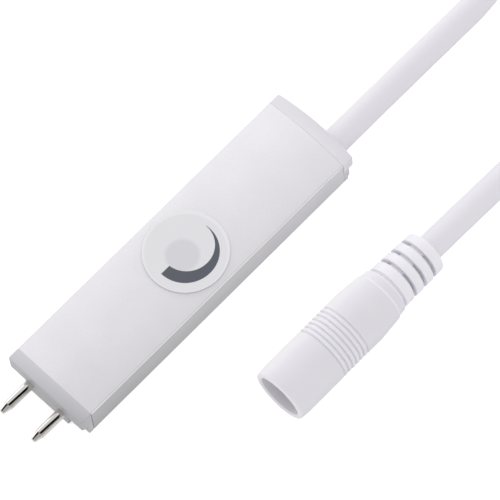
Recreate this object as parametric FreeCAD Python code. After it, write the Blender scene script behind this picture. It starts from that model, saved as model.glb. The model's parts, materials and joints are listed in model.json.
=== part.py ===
"""Inline touch dimmer switch with two contact pins, a free lead and a round power socket.

Millimetres, +Z up. The housing's length lies along X: the pins leave at -X and the cord at +X.
The origin is the centre of the housing's bottom face, and the connector lies beside it at -Y.
"""

import FreeCAD
import Part

import math
import os

from FreeCAD import Vector

# Fits and gaps
FIT = 0.05
SEAM = 0.03
SEAT = 0.02

# Housing, an extruded channel that is open below
HOUSING_LENGTH = 61.0
HOUSING_WIDTH = 17.4
HOUSING_HEIGHT = 7.0
TOP_WALL = 0.9
SIDE_WALL = 1.1
EDGE_ROUND = 0.3
FAR_SEAM_BULGE = 0.37
LEDGE_DEPTH = 0.6
LEDGE_HEIGHT = 0.5

# Strip that closes the channel
COVER_THICKNESS = 0.8
COVER_LIP = 0.35
COVER_TONGUE = 0.55

# Touch disc and what is printed on it
DISC_OFFSET = 1.1
DISC_RADIUS = 7.5
DISC_LIP = 0.4
DISC_GAP = 0.1
DISC_RISE = 0.3
DISC_THICKNESS = 1.0
DISC_BEVEL = 0.12
DISC_SKIRT_WALL = 0.8
DISC_SKIRT_REACH = 0.4
DISC_TAB_WIDTH = 4.0
DISC_TAB_REACH = 0.55
DISC_TAB_HEIGHT = 0.35
ARC_RADIUS = 5.75
ARC_INNER_RADIUS = 4.72
ARC_INNER_SHIFT = (0.94, 0.6)
ARC_END_HEIGHT = 0.2
ARC_DEPTH = 0.12

# End caps
CAP_FLANGE = 1.15
CAP_HOOD = 1.25
CAP_SPLIT_HEIGHT = 3.5
CAP_CORNER = 0.5
CAP_TONGUE_LENGTH = 4.0
CAP_TONGUE_WIDTH = 1.4
PIN_BLOCK_WIDTH = 9.8
FAR_CAP_LENGTH = 2.55
FAR_CAP_HOOD = 0.7
FAR_CAP_SPLIT_HEIGHT = 4.1
FAR_CAP_BULGE = 0.6
FAR_CAP_LIP = 0.35
FAR_CAP_UNDERCUT = 0.3
FAR_CAP_OVERHANG = 0.12
FAR_CAP_FOOT_HEIGHT = 0.9
FAR_CAP_FOOT_INSET = 0.6
FAR_CAP_CORD_CORNER = 0.4
FAR_CAP_PLAIN_CORNER = 0.3

# Contact pins
PIN_RADIUS = 0.9
PIN_SPACING = 7.4
PIN_HEIGHT = 3.5
PIN_REACH = 6.9
PIN_TIP_LENGTH = 1.55
PIN_TIP_RADIUS = 0.48
PIN_SHOULDER = 0.08
PIN_NOSE = 0.2
PIN_SHANK_RADIUS = 0.45
PIN_INNER_LENGTH = 3.4

# Circuit board and what it carries
BOARD_THICKNESS = 0.8
BOARD_NEAR_GAP = 0.6
BOARD_FAR_GAP = 11.5
LED_SIZE = (2.0, 1.25, 0.8)
CONTROLLER_PLAN = (4.9, 3.9)
CONTROLLER_TOP_GAP = 1.6
CONTROLLER_LEAD_COUNT = 4
CONTROLLER_PITCH = 1.27
CONTROLLER_GAP = 2.65
CONTROLLER_SIDE = 1.5
MOSFET_PLAN = (6.5, 3.5)
MOSFET_TOP_GAP = 1.2
MOSFET_LEAD_COUNT = 3
MOSFET_PITCH = 2.3
MOSFET_INSET = 9.0
MOSFET_SIDE = -0.5
DIODE_PLAN = (4.3, 2.6)
DIODE_TOP_GAP = 1.1
DIODE_GAP = 2.0
DIODE_EDGE_GAP = 1.65
CAPACITOR_SIZE = (3.2, 1.6, 1.2)
CAPACITOR_COUNT = 3
CAPACITOR_PITCH = 5.0
CAPACITOR_EDGE_GAP = 1.15
RESISTOR_SIZE = (1.6, 0.8, 0.45)
RESISTOR_COUNT = 5
RESISTOR_PITCH = 2.6
RESISTOR_EDGE_GAP = 1.25
LEAD_WIDTH = 0.42
LEAD_REACH = 0.95
LEAD_THICKNESS = 0.2

# Touch spring
SPRING_WIRE = 0.35
SPRING_FOOT_RADIUS = 2.1
SPRING_TOP_RADIUS = 2.7
SPRING_QUARTER_TURN_COUNT = 10

# Cord
CORD_RADIUS = 2.45
CORD_OFFSET = -3.5
CORD_HEIGHT = HOUSING_HEIGHT / 2
WIRE_RADIUS = 0.6
WIRE_SPREAD = 0.8
WIRE_PAD_SPREAD = 1.9
WIRE_PAD_LENGTH = 1.2
STOP_LENGTH = 2.6

# Socket connector: its mouth faces -X
SOCKET_MOUTH = -6.7
SOCKET_LENGTH = 26.3
SOCKET_RADIUS = 5.35
SOCKET_RIM_RADIUS = 5.1
SOCKET_SHOULDER_RADIUS = 4.95
SOCKET_COLLAR_LENGTH = 2.0
SOCKET_COLLAR_STEP = 0.35
SOCKET_COLLAR_RADIUS = 4.72
SOCKET_REAR_RADIUS = 4.55
SOCKET_BORE_RADIUS = 4.15
SOCKET_RECESS = 4.6
SOCKET_BORE_LENGTH = 18.4
SOCKET_REAR_BORE_RADIUS = 3.45
SOCKET_OFFSET = -29.0
RIM_ROUND = 0.35
FLARE_LENGTH = 2.2
GRIP_START = 10.5
GRIP_PITCH = 0.95
GRIP_GROOVE_COUNT = 7
GRIP_WIDTH = 0.36
GRIP_DEPTH = 0.24
TAPER_START = 20.0
TAPER_BULGE = 0.05

# Socket core and contacts, for a plug of 5.5 mm with a 2.1 mm hole
CORE_LENGTH = 13.2
PLUG_DEPTH = 9.5
SLEEVE_RADIUS = 3.2
SLEEVE_WALL = 0.35
CENTRE_PIN_RADIUS = 1.05
CENTRE_PIN_RECESS = 0.8
CENTRE_PIN_NOSE = 0.4
CONTACT_TAIL_LENGTH = 5.6
CONTACT_TAIL_WIDTH = 1.5
CONTACT_TAIL_RADIUS = 0.6
LEAF_WIDTH = 1.8
LEAF_THICKNESS = 0.25
LEAF_LENGTH = 6.4
LEAF_BUMP = 0.3
LEAF_BUMP_LENGTH = 1.2
LEAF_SIDE_GAP = 0.3

# Strain relief behind the socket
RELIEF_GAP = 0.3
RELIEF_DROOP = 3.5
RELIEF_FRONT_RADIUS = 4.3
RELIEF_REAR_RADIUS = 4.1
RELIEF_NECK_RADIUS = 3.8
RELIEF_NECK_LENGTH = 0.05
RELIEF_CORE_WALL = 0.5
RELIEF_STEM_LENGTH = 2.0
RELIEF_RING_COUNT = 4
RING_WIDTH = 1.68
SLOT_WIDTH = 0.74
FIRST_RING_EXTRA = 0.25
LAST_RING_EXTRA = 0.3
WEB_WIDTH = 3.1
WEB_RECESS = 0.7
WEB_TURN = -7.0
TAIL_ROUND = 0.45

# Values that follow from those above
HALF_LENGTH = HOUSING_LENGTH / 2
HALF_WIDTH = HOUSING_WIDTH / 2
CEILING = HOUSING_HEIGHT - TOP_WALL
ROOM_HALF_WIDTH = HALF_WIDTH - SIDE_WALL
BOARD_SIDE = ROOM_HALF_WIDTH - FIT
TONGUE_INNER_SIDE = ROOM_HALF_WIDTH - FIT - CAP_TONGUE_WIDTH
DISC_TOP = HOUSING_HEIGHT + DISC_RISE
DISC_UNDERSIDE = DISC_TOP - DISC_THICKNESS
DISC_HOLE_RADIUS = DISC_RADIUS - DISC_LIP
DISC_SKIRT_RADIUS = DISC_HOLE_RADIUS - DISC_GAP
BOARD_TOP = PIN_HEIGHT - PIN_SHANK_RADIUS - SEAT
BOARD_BOTTOM = BOARD_TOP - BOARD_THICKNESS
BOARD_FAR_END = HALF_LENGTH - BOARD_FAR_GAP
NEAR_FRONT = -HALF_LENGTH - CAP_FLANGE - CAP_HOOD
FAR_FACE = HALF_LENGTH + FAR_SEAM_BULGE + FAR_CAP_LENGTH
SOCKET_HEIGHT = SOCKET_RADIUS
SOCKET_END = SOCKET_MOUTH + SOCKET_LENGTH
CORE_FRONT = SOCKET_MOUTH + SOCKET_RECESS
CORE_BACK = CORE_FRONT + CORE_LENGTH
RELIEF_START = SOCKET_END + RELIEF_GAP
RELIEF_SLOT_COUNT = RELIEF_RING_COUNT - 1
RINGS_LENGTH = RELIEF_RING_COUNT * RING_WIDTH + RELIEF_SLOT_COUNT * SLOT_WIDTH
RELIEF_LENGTH = RELIEF_NECK_LENGTH + FIRST_RING_EXTRA + RINGS_LENGTH + LAST_RING_EXTRA
X_AXIS = Vector(1, 0, 0)
Y_AXIS = Vector(0, 1, 0)
Z_AXIS = Vector(0, 0, 1)


def box(x_span, y_span, z_span):
    """A block between two places along each axis."""
    corner = Vector(x_span[0], y_span[0], z_span[0])
    return Part.makeBox(x_span[1] - x_span[0], y_span[1] - y_span[0], z_span[1] - z_span[0], corner)


def rod(radius, x_span, y, z):
    """A round bar along X."""
    return Part.makeCylinder(radius, x_span[1] - x_span[0], Vector(x_span[0], y, z), X_AXIS)


def post(radius, z_span, x, y=0):
    """A round bar along Z."""
    return Part.makeCylinder(radius, z_span[1] - z_span[0], Vector(x, y, z_span[0]), Z_AXIS)


def turned(edges, y, z):
    """A solid of revolution about an axis along X, from the edges of its outline in the XZ plane."""
    face = Part.Face(Part.Wire(edges))
    face.translate(Vector(0, y, z))
    return face.revolve(Vector(0, y, z), X_AXIS, 360)


def polyline(points):
    """Straight edges through points of the XZ plane, each an (x, z) pair."""
    corners = [Vector(x, 0, z) for x, z in points]
    return [Part.makeLine(a, b) for a, b in zip(corners, corners[1:])]


def arc(start, middle, end):
    """An arc through three points of the XZ plane."""
    return Part.Arc(*[Vector(x, 0, z) for x, z in (start, middle, end)]).toShape()


def extruded_x(points, x_span):
    """A prism along X over an outline in the YZ plane."""
    corners = [Vector(x_span[0], y, z) for y, z in points]
    wire = Part.makePolygon(corners + corners[:1])
    return Part.Face(wire).extrude(Vector(x_span[1] - x_span[0], 0, 0))


def end_cylinder(crown, bulge, offset=0.0):
    """An upright cylinder whose side is the arched end face that reaches x = crown on the middle line."""
    radius = (HALF_WIDTH**2 + bulge**2) / (2 * bulge)
    height = 3 * HOUSING_HEIGHT
    centre = Vector(crown - radius, 0, -HOUSING_HEIGHT)
    return Part.makeCylinder(radius + offset, height, centre, Z_AXIS)


def along_x(shape, y_side, z):
    """The edges that run along X at one side and one height."""
    return [
        edge
        for edge in shape.Edges
        if abs(edge.BoundBox.YLength) < 1e-6
        and abs(edge.BoundBox.ZLength) < 1e-6
        and abs(abs(edge.BoundBox.YMin) - y_side) < 1e-6
        and abs(edge.BoundBox.ZMin - z) < 1e-6
    ]


def upright_edges(shape, x, y):
    """The edges that run along Z at one place."""
    return [
        edge
        for edge in shape.Edges
        if abs(edge.BoundBox.XLength) < 1e-6
        and abs(edge.BoundBox.YLength) < 1e-6
        and abs(edge.BoundBox.XMin - x) < 0.05
        and abs(edge.BoundBox.YMin - y) < 1e-6
    ]


def path(points):
    """A wire of straight runs joined by tangent arcs, and the radii of the arcs."""
    edges = []
    radii = []
    start = points[0]
    for before, corner, after in zip(points, points[1:], points[2:]):
        into = (corner - before).normalize()
        out = (after - corner).normalize()
        turn = into.getAngle(out)
        cut = 0.45 * min((corner - before).Length, (after - corner).Length)
        radius = cut / math.tan(turn / 2)
        radii.append(radius)
        first = corner - into * cut
        last = corner + out * cut
        middle = corner + (out - into).normalize() * radius * (1 / math.cos(turn / 2) - 1)
        edges.append(Part.LineSegment(start, first).toShape())
        edges.append(Part.Arc(first, middle, last).toShape())
        start = last
    edges.append(Part.LineSegment(start, points[-1]).toShape())
    return Part.Wire(edges), radii


def tube(points, radius):
    """A round bar of one radius along a path, with its radii and its length."""
    wire, radii = path(points)
    direction = points[1] - points[0]
    section = Part.Wire([Part.Circle(points[0], direction, radius).toShape()])
    return wire.makePipeShell([section], True, False), radii, wire.Length


def biarc(start, start_tangent, end, end_tangent):
    """Two arcs that join two points with the given directions."""
    chord = end - start
    both = start_tangent + end_tangent
    spread = 2 * (1 - start_tangent.dot(end_tangent))
    reach = (-chord.dot(both) + math.sqrt(chord.dot(both) ** 2 + spread * chord.dot(chord))) / spread
    first = start + start_tangent * reach
    last = end - end_tangent * reach
    joint = (first + last) * 0.5
    return [tangent_arc(start, first, joint), tangent_arc(joint, last, end)]


def tangent_arc(start, corner, end):
    """The arc from start to end whose tangents there meet at corner."""
    middle = (start + end) * 0.5
    half = (end - start).Length / 2
    turn = math.acos(half / (corner - start).Length)
    rise = half * math.tan(turn / 2)
    return Part.Arc(start, middle + (corner - middle).normalize() * rise, end).toShape()


def make_housing():
    """Extruded channel: top, two sides, grooves for the cover and ledges for the board."""
    groove_top = COVER_THICKNESS
    groove_side = ROOM_HALF_WIDTH + COVER_TONGUE
    ledge_side = ROOM_HALF_WIDTH - LEDGE_DEPTH
    ledge_top = BOARD_BOTTOM - SEAT
    half = [
        (HALF_WIDTH, 0),
        (HALF_WIDTH, HOUSING_HEIGHT),
        (0, HOUSING_HEIGHT),
        (0, CEILING),
        (ROOM_HALF_WIDTH, CEILING),
        (ROOM_HALF_WIDTH, ledge_top),
        (ledge_side, ledge_top),
        (ledge_side, ledge_top - LEDGE_HEIGHT),
        (ROOM_HALF_WIDTH, ledge_top - LEDGE_HEIGHT),
        (ROOM_HALF_WIDTH, groove_top),
        (groove_side, groove_top),
        (groove_side, COVER_LIP),
        (ROOM_HALF_WIDTH, COVER_LIP),
        (ROOM_HALF_WIDTH, 0),
    ]
    span = (-HALF_LENGTH, HALF_LENGTH + 2 * FAR_SEAM_BULGE)
    right = extruded_x(half, span)
    left = extruded_x([(-y, z) for y, z in half], span)
    shell = right.fuse(left).removeSplitter()
    shell = shell.makeFillet(EDGE_ROUND, along_x(shell, HALF_WIDTH, HOUSING_HEIGHT))
    shell = shell.common(end_cylinder(HALF_LENGTH + FAR_SEAM_BULGE, FAR_SEAM_BULGE))
    hole = post(DISC_HOLE_RADIUS, (CEILING - 1, HOUSING_HEIGHT + 1), DISC_OFFSET)
    cord_room = box(
        (BOARD_FAR_END + BOARD_NEAR_GAP, FAR_FACE),
        (-ROOM_HALF_WIDTH, ROOM_HALF_WIDTH),
        (COVER_THICKNESS, CEILING),
    )
    return shell.cut(hole).cut(cord_room)


def make_base_cover():
    """Strip between the channel's lips, with a tongue in each groove."""
    span = (-HALF_LENGTH, HALF_LENGTH + 2 * FAR_SEAM_BULGE)
    strip_side = ROOM_HALF_WIDTH - FIT
    tongue_side = strip_side + COVER_TONGUE
    strip = box(span, (-strip_side, strip_side), (0, COVER_THICKNESS - FIT))
    tongues = box(span, (-tongue_side, tongue_side), (COVER_LIP + FIT, COVER_THICKNESS - FIT))
    cover = strip.fuse(tongues).removeSplitter()
    return cover.common(end_cylinder(HALF_LENGTH + FAR_SEAM_BULGE, FAR_SEAM_BULGE))


def cap_tongues(side_of_x):
    """Two tongues that hold a cap in the channel, one along each side wall."""
    root = side_of_x * (HALF_LENGTH + CAP_FLANGE)
    ends = sorted((root, side_of_x * (HALF_LENGTH - CAP_TONGUE_LENGTH)))
    tongues = []
    for side in (-1, 1):
        y_span = sorted((side * (ROOM_HALF_WIDTH - FIT), side * TONGUE_INNER_SIDE))
        tongues.append(box(ends, y_span, (BOARD_TOP + FIT, CEILING - FIT)))
    return tongues


def make_pin_end_cap():
    """Cap with an upper hood over the full width and a lower block round the pins."""
    seam = -HALF_LENGTH - SEAM
    flange_front = -HALF_LENGTH - CAP_FLANGE
    flange = box((flange_front, seam), (-HALF_WIDTH, HALF_WIDTH), (0, HOUSING_HEIGHT))
    hood = box((NEAR_FRONT, flange_front), (-HALF_WIDTH, HALF_WIDTH), (CAP_SPLIT_HEIGHT, HOUSING_HEIGHT))
    block_side = PIN_BLOCK_WIDTH / 2
    block = box((NEAR_FRONT, flange_front), (-block_side, block_side), (0, CAP_SPLIT_HEIGHT))
    cap = flange.fuse([hood, block]).removeSplitter()
    for side in (-1, 1):
        cap = cap.makeFillet(CAP_CORNER, upright_edges(cap, NEAR_FRONT, side * HALF_WIDTH))
    cap = cap.makeFillet(EDGE_ROUND, along_x(cap, HALF_WIDTH, HOUSING_HEIGHT))
    cap = cap.fuse(cap_tongues(-1))
    for side in (-1, 1):
        cap = cap.cut(rod(PIN_SHANK_RADIUS + SEAT, (NEAR_FRONT - 1, 0), side * PIN_SPACING / 2, PIN_HEIGHT))
    return cap.removeSplitter()


def make_cord_end_cap():
    """Cap with an arched outer face, a hood that overhangs it on the cord's side and a hole for the cord."""
    seam = end_cylinder(HALF_LENGTH + FAR_SEAM_BULGE, FAR_SEAM_BULGE, SEAM)
    span = (HALF_LENGTH - 1, FAR_FACE + 1)
    cord_side = HALF_WIDTH + FAR_CAP_OVERHANG
    hood = box(span, (-cord_side, HALF_WIDTH), (FAR_CAP_SPLIT_HEIGHT, HOUSING_HEIGHT))
    hood = hood.common(end_cylinder(FAR_FACE, FAR_CAP_BULGE))
    corner_x = FAR_FACE - FAR_CAP_BULGE
    hood = hood.makeFillet(FAR_CAP_CORD_CORNER, upright_edges(hood, corner_x, -cord_side))
    hood = hood.makeFillet(FAR_CAP_PLAIN_CORNER, upright_edges(hood, corner_x, HALF_WIDTH))
    upper_edges = along_x(hood, cord_side, HOUSING_HEIGHT) + along_x(hood, HALF_WIDTH, HOUSING_HEIGHT)
    hood = hood.makeFillet(EDGE_ROUND, upper_edges)
    foot_side = HALF_WIDTH - FAR_CAP_UNDERCUT
    foot = box(span, (-foot_side, foot_side), (0, FAR_CAP_SPLIT_HEIGHT))
    foot = foot.common(end_cylinder(FAR_FACE - FAR_CAP_HOOD, FAR_CAP_BULGE))
    sole = box(span, (-HALF_WIDTH, HALF_WIDTH), (0, FAR_CAP_FOOT_HEIGHT))
    sole = sole.common(end_cylinder(FAR_FACE - FAR_CAP_HOOD - FAR_CAP_FOOT_INSET, FAR_CAP_BULGE))
    lip_end = HALF_LENGTH + SEAM + FAR_CAP_LIP
    lip = box((span[0], lip_end), (-HALF_WIDTH, HALF_WIDTH), (0, FAR_CAP_SPLIT_HEIGHT))
    cap = hood.fuse([foot, sole, lip]).cut(seam)
    cap = cap.fuse(cap_tongues(1))
    hole = rod(CORD_RADIUS + FIT, (0, FAR_FACE + 1), CORD_OFFSET, CORD_HEIGHT)
    return cap.cut(hole).removeSplitter()


def make_pin(side):
    """Round contact pin with a tapered tip, and a thinner shank through the cap to the board."""
    tip = NEAR_FRONT - PIN_REACH
    taper = tip + PIN_TIP_LENGTH
    inner_end = -HALF_LENGTH + PIN_INNER_LENGTH
    nose_middle = (tip + PIN_NOSE * 0.3, PIN_TIP_RADIUS * 0.72)
    nose_end = (tip + PIN_NOSE, PIN_TIP_RADIUS)
    outline = [arc((tip, 0), nose_middle, nose_end)]
    outline += polyline(
        [
            nose_end,
            (taper, PIN_RADIUS - PIN_SHOULDER),
            (taper, PIN_RADIUS),
            (NEAR_FRONT - SEAT, PIN_RADIUS),
            (NEAR_FRONT - SEAT, PIN_SHANK_RADIUS),
            (inner_end, PIN_SHANK_RADIUS),
            (inner_end, 0),
            (tip, 0),
        ]
    )
    return turned(outline, side * PIN_SPACING / 2, PIN_HEIGHT)


def arc_face_solid(z_span):
    """The tapering arc: a round area less a smaller round area beside its middle, cut off level."""
    outer = post(ARC_RADIUS, z_span, DISC_OFFSET)
    inner = post(ARC_INNER_RADIUS, z_span, DISC_OFFSET + ARC_INNER_SHIFT[0], ARC_INNER_SHIFT[1])
    reach = 2 * ARC_RADIUS
    upper_left = box(
        (DISC_OFFSET - reach, DISC_OFFSET), (ARC_END_HEIGHT, reach), (z_span[0] - 1, z_span[1] + 1)
    )
    crescent = outer.cut(inner).cut(upper_left)
    return max(crescent.Solids, key=lambda solid: solid.Volume)


def make_touch_disc():
    """Raised round key whose lip rests on the wall, with a skirt in the hole and two snap tabs."""
    skirt_bottom = CEILING - DISC_SKIRT_REACH
    disc = post(DISC_RADIUS, (HOUSING_HEIGHT + SEAT, DISC_TOP), DISC_OFFSET)
    rim = [
        edge for edge in disc.Edges if edge.BoundBox.ZLength < 1e-6 and edge.BoundBox.ZMin > DISC_TOP - 0.01
    ]
    disc = disc.makeFillet(DISC_BEVEL, rim)
    skirt_inner = DISC_SKIRT_RADIUS - DISC_SKIRT_WALL
    disc = disc.fuse(post(DISC_SKIRT_RADIUS, (skirt_bottom, DISC_TOP - DISC_RISE / 2), DISC_OFFSET))
    disc = disc.cut(post(skirt_inner, (skirt_bottom - 1, DISC_UNDERSIDE), DISC_OFFSET))
    tab_reach = DISC_HOLE_RADIUS + DISC_TAB_REACH
    tab_z = (CEILING - FIT - DISC_TAB_HEIGHT, CEILING - FIT)
    for side in (-1, 1):
        inner_x = DISC_OFFSET + side * (DISC_SKIRT_RADIUS - DISC_SKIRT_WALL / 2)
        x_span = sorted((inner_x, DISC_OFFSET + side * tab_reach))
        disc = disc.fuse(box(x_span, (-DISC_TAB_WIDTH / 2, DISC_TAB_WIDTH / 2), tab_z))
    pocket = arc_face_solid((DISC_TOP - ARC_DEPTH, DISC_TOP + 1))
    return disc.cut(pocket).removeSplitter()


def make_level_arc():
    """Printed arc, flush with the disc's top."""
    return arc_face_solid((DISC_TOP - ARC_DEPTH, DISC_TOP))


def make_touch_spring():
    """Conical coil spring from the board to the disc's underside, as one unbroken wire."""
    wire_radius = SPRING_WIRE / 2
    foot = BOARD_TOP + wire_radius + SEAT
    top = DISC_UNDERSIDE - wire_radius - SEAT
    growth = (SPRING_TOP_RADIUS - SPRING_FOOT_RADIUS) / SPRING_QUARTER_TURN_COUNT
    climb = (top - foot) / SPRING_QUARTER_TURN_COUNT

    def place(quarter):
        radius = SPRING_FOOT_RADIUS + growth * quarter
        angle = quarter * math.pi / 2
        across = Vector(math.cos(angle), math.sin(angle), 0) * radius
        return Vector(DISC_OFFSET, 0, foot + climb * quarter) + across

    def heading(quarter):
        radius = SPRING_FOOT_RADIUS + growth * quarter
        angle = quarter * math.pi / 2
        around = Vector(-math.sin(angle), math.cos(angle), 0) * radius * math.pi / 2
        outward = Vector(math.cos(angle), math.sin(angle), 0) * growth
        return (around + outward + Vector(0, 0, climb)).normalize()

    edges = []
    for quarter in range(SPRING_QUARTER_TURN_COUNT):
        edges += biarc(place(quarter), heading(quarter), place(quarter + 1), heading(quarter + 1))
    line = Part.Wire(edges)
    section = Part.Wire([Part.Circle(place(0), heading(0), wire_radius).toShape()])
    print(f"touch_spring least gap to itself {least_own_gap(line, SPRING_WIRE):.2f} mm")
    return line.makePipeShell([section], True, False)


def least_own_gap(line, thickness):
    """Least gap between two turns of a coiled wire, from points along it half a turn or more apart."""
    steps_a_quarter = 40
    points = line.discretize(Number=steps_a_quarter * SPRING_QUARTER_TURN_COUNT)
    gaps = [
        first.distanceToPoint(second) - thickness
        for number, first in enumerate(points)
        for second in points[number + 2 * steps_a_quarter :]
    ]
    return min(gaps)


def on_board(size, x, y, base=0.0):
    """A block that stands on the board, centred at x and y."""
    length, width, height = size
    return box(
        (x - length / 2, x + length / 2),
        (y - width / 2, y + width / 2),
        (BOARD_TOP + SEAT + base, BOARD_TOP + SEAT + height),
    )


def tall_size(plan, top_gap):
    """The size of a component that fills the room above the board but for a gap on top."""
    return (*plan, CEILING - BOARD_TOP - SEAT - top_gap)


def chip(size, x, y, leads_a_side, pitch):
    """A moulded chip with flat leads along its two long sides."""
    body = on_board(size, x, y, LEAD_THICKNESS / 2)
    first = x - pitch * (leads_a_side - 1) / 2
    lead_size = (LEAD_WIDTH, size[1] + 2 * LEAD_REACH, LEAD_THICKNESS)
    leads = [on_board(lead_size, first + pitch * number, y) for number in range(leads_a_side)]
    return body.fuse(leads).removeSplitter()


def make_circuit_board():
    """Board on the housing's ledges, cut back for the far end's cord."""
    span = (-HALF_LENGTH + BOARD_NEAR_GAP, BOARD_FAR_END)
    return box(span, (-BOARD_SIDE, BOARD_SIDE), (BOARD_BOTTOM, BOARD_TOP))


def make_touch_controller():
    """Chip that senses the touch, beside the disc's skirt."""
    x = DISC_OFFSET - DISC_RADIUS - CONTROLLER_GAP - CONTROLLER_PLAN[0] / 2
    size = tall_size(CONTROLLER_PLAN, CONTROLLER_TOP_GAP)
    return chip(size, x, CONTROLLER_SIDE, CONTROLLER_LEAD_COUNT, CONTROLLER_PITCH)


def make_power_mosfet():
    """Switching transistor near the pins."""
    size = tall_size(MOSFET_PLAN, MOSFET_TOP_GAP)
    return chip(size, -HALF_LENGTH + MOSFET_INSET, MOSFET_SIDE, MOSFET_LEAD_COUNT, MOSFET_PITCH)


def make_supply_diode():
    """Protection diode on the cord's side of the disc."""
    x = DISC_OFFSET + DISC_RADIUS + DIODE_GAP + DIODE_PLAN[0] / 2
    y = BOARD_SIDE - DIODE_EDGE_GAP - DIODE_PLAN[1] / 2
    return on_board(tall_size(DIODE_PLAN, DIODE_TOP_GAP), x, y)


def make_chip_capacitors():
    """Row along the board's -Y edge, as separate solids."""
    y = -BOARD_SIDE + CAPACITOR_EDGE_GAP + CAPACITOR_SIZE[1] / 2
    places = [DISC_OFFSET - CAPACITOR_PITCH * number for number in range(CAPACITOR_COUNT)]
    return Part.makeCompound([on_board(CAPACITOR_SIZE, x, y) for x in places])


def make_chip_resistors():
    """Row along the board's +Y edge, as separate solids."""
    y = BOARD_SIDE - RESISTOR_EDGE_GAP - RESISTOR_SIZE[1] / 2
    places = [DISC_OFFSET - DISC_RADIUS - RESISTOR_PITCH * number for number in range(RESISTOR_COUNT)]
    return Part.makeCompound([on_board(RESISTOR_SIZE, x, y) for x in places])


def make_cord_stop():
    """Block on the two conductors behind the cap, too large to pass the cap's hole."""
    end = HALF_LENGTH - SEAT
    half_width = TONGUE_INNER_SIDE + CORD_OFFSET - FIT
    block = box(
        (end - STOP_LENGTH, end),
        (CORD_OFFSET - half_width, CORD_OFFSET + half_width),
        (COVER_THICKNESS + FIT, CEILING - FIT),
    )
    for side in (-1, 1):
        lane = CORD_OFFSET + side * WIRE_SPREAD
        block = block.cut(rod(WIRE_RADIUS + SEAT, (0, HALF_LENGTH), lane, CORD_HEIGHT))
    return block


def make_cord_entry():
    """The cord's sheath inside the cap."""
    return rod(CORD_RADIUS, (HALF_LENGTH, FAR_FACE), CORD_OFFSET, CORD_HEIGHT)


def make_inner_wire(side):
    """Conductor from the cord's sheath, through the stop, to its pad on the board."""
    lane = CORD_OFFSET + side * WIRE_SPREAD
    pad = CORD_OFFSET + side * WIRE_PAD_SPREAD
    rest = BOARD_TOP + WIRE_RADIUS + SEAT
    points = [
        Vector(HALF_LENGTH - SEAT, lane, CORD_HEIGHT),
        Vector(HALF_LENGTH - STOP_LENGTH - WIRE_PAD_LENGTH, lane, CORD_HEIGHT),
        Vector(BOARD_FAR_END + WIRE_PAD_LENGTH, pad, rest),
        Vector(BOARD_FAR_END - WIRE_PAD_LENGTH, pad, rest),
    ]
    return tube(points, WIRE_RADIUS)[0]


def socket_outline():
    """Edges of the connector body's outline, as x along its axis and radius."""
    start = SOCKET_MOUTH
    taper = start + TAPER_START
    shoulder = SOCKET_END - SOCKET_COLLAR_LENGTH
    rim_middle = (SOCKET_BORE_RADIUS + SOCKET_RIM_RADIUS) / 2
    taper_middle = (
        (taper + shoulder) / 2,
        (SOCKET_RADIUS + SOCKET_SHOULDER_RADIUS) / 2 + TAPER_BULGE,
    )
    edges = [
        arc(
            (start + RIM_ROUND, SOCKET_BORE_RADIUS),
            (start, rim_middle),
            (start + RIM_ROUND, SOCKET_RIM_RADIUS),
        )
    ]
    flare_middle = (start + FLARE_LENGTH * 0.45, SOCKET_RADIUS - 0.08)
    edges.append(
        arc((start + RIM_ROUND, SOCKET_RIM_RADIUS), flare_middle, (start + FLARE_LENGTH, SOCKET_RADIUS))
    )
    edges += polyline([(start + FLARE_LENGTH, SOCKET_RADIUS), (taper, SOCKET_RADIUS)])
    edges.append(arc((taper, SOCKET_RADIUS), taper_middle, (shoulder, SOCKET_SHOULDER_RADIUS)))
    bore_end = start + SOCKET_BORE_LENGTH
    edges += polyline(
        [
            (shoulder, SOCKET_SHOULDER_RADIUS),
            (shoulder + SOCKET_COLLAR_STEP, SOCKET_COLLAR_RADIUS),
            (SOCKET_END, SOCKET_REAR_RADIUS),
            (SOCKET_END, SOCKET_REAR_BORE_RADIUS),
            (bore_end, SOCKET_REAR_BORE_RADIUS),
            (bore_end, SOCKET_BORE_RADIUS),
            (start + RIM_ROUND, SOCKET_BORE_RADIUS),
        ]
    )
    return edges


def make_socket_overmould():
    """Connector body: open mouth, gripping grooves, tapered rear and a bore for the core."""
    body = turned(socket_outline(), SOCKET_OFFSET, SOCKET_HEIGHT)
    for number in range(GRIP_GROOVE_COUNT):
        middle = SOCKET_MOUTH + GRIP_START + GRIP_PITCH * number
        groove = polyline(
            [
                (middle - GRIP_WIDTH / 2, SOCKET_RADIUS + 0.5),
                (middle - GRIP_WIDTH / 2, SOCKET_RADIUS),
                (middle - GRIP_WIDTH / 5, SOCKET_RADIUS - GRIP_DEPTH),
                (middle + GRIP_WIDTH / 5, SOCKET_RADIUS - GRIP_DEPTH),
                (middle + GRIP_WIDTH / 2, SOCKET_RADIUS),
                (middle + GRIP_WIDTH / 2, SOCKET_RADIUS + 0.5),
                (middle - GRIP_WIDTH / 2, SOCKET_RADIUS + 0.5),
            ]
        )
        body = body.cut(turned(groove, SOCKET_OFFSET, SOCKET_HEIGHT))
    return body


def leaf_slot(x_span, inner_radius, outer_radius):
    """The space over the leaf: a slot along the top of the core and of the sleeve."""
    half = LEAF_WIDTH / 2 + LEAF_SIDE_GAP
    y_span = (SOCKET_OFFSET - half, SOCKET_OFFSET + half)
    return box(x_span, y_span, (SOCKET_HEIGHT + inner_radius, SOCKET_HEIGHT + outer_radius))


def leaf_span():
    """Where the leaf begins and ends along X."""
    front = CORE_FRONT + CENTRE_PIN_RECESS + LEAF_SIDE_GAP
    return (front, front + LEAF_LENGTH)


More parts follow.
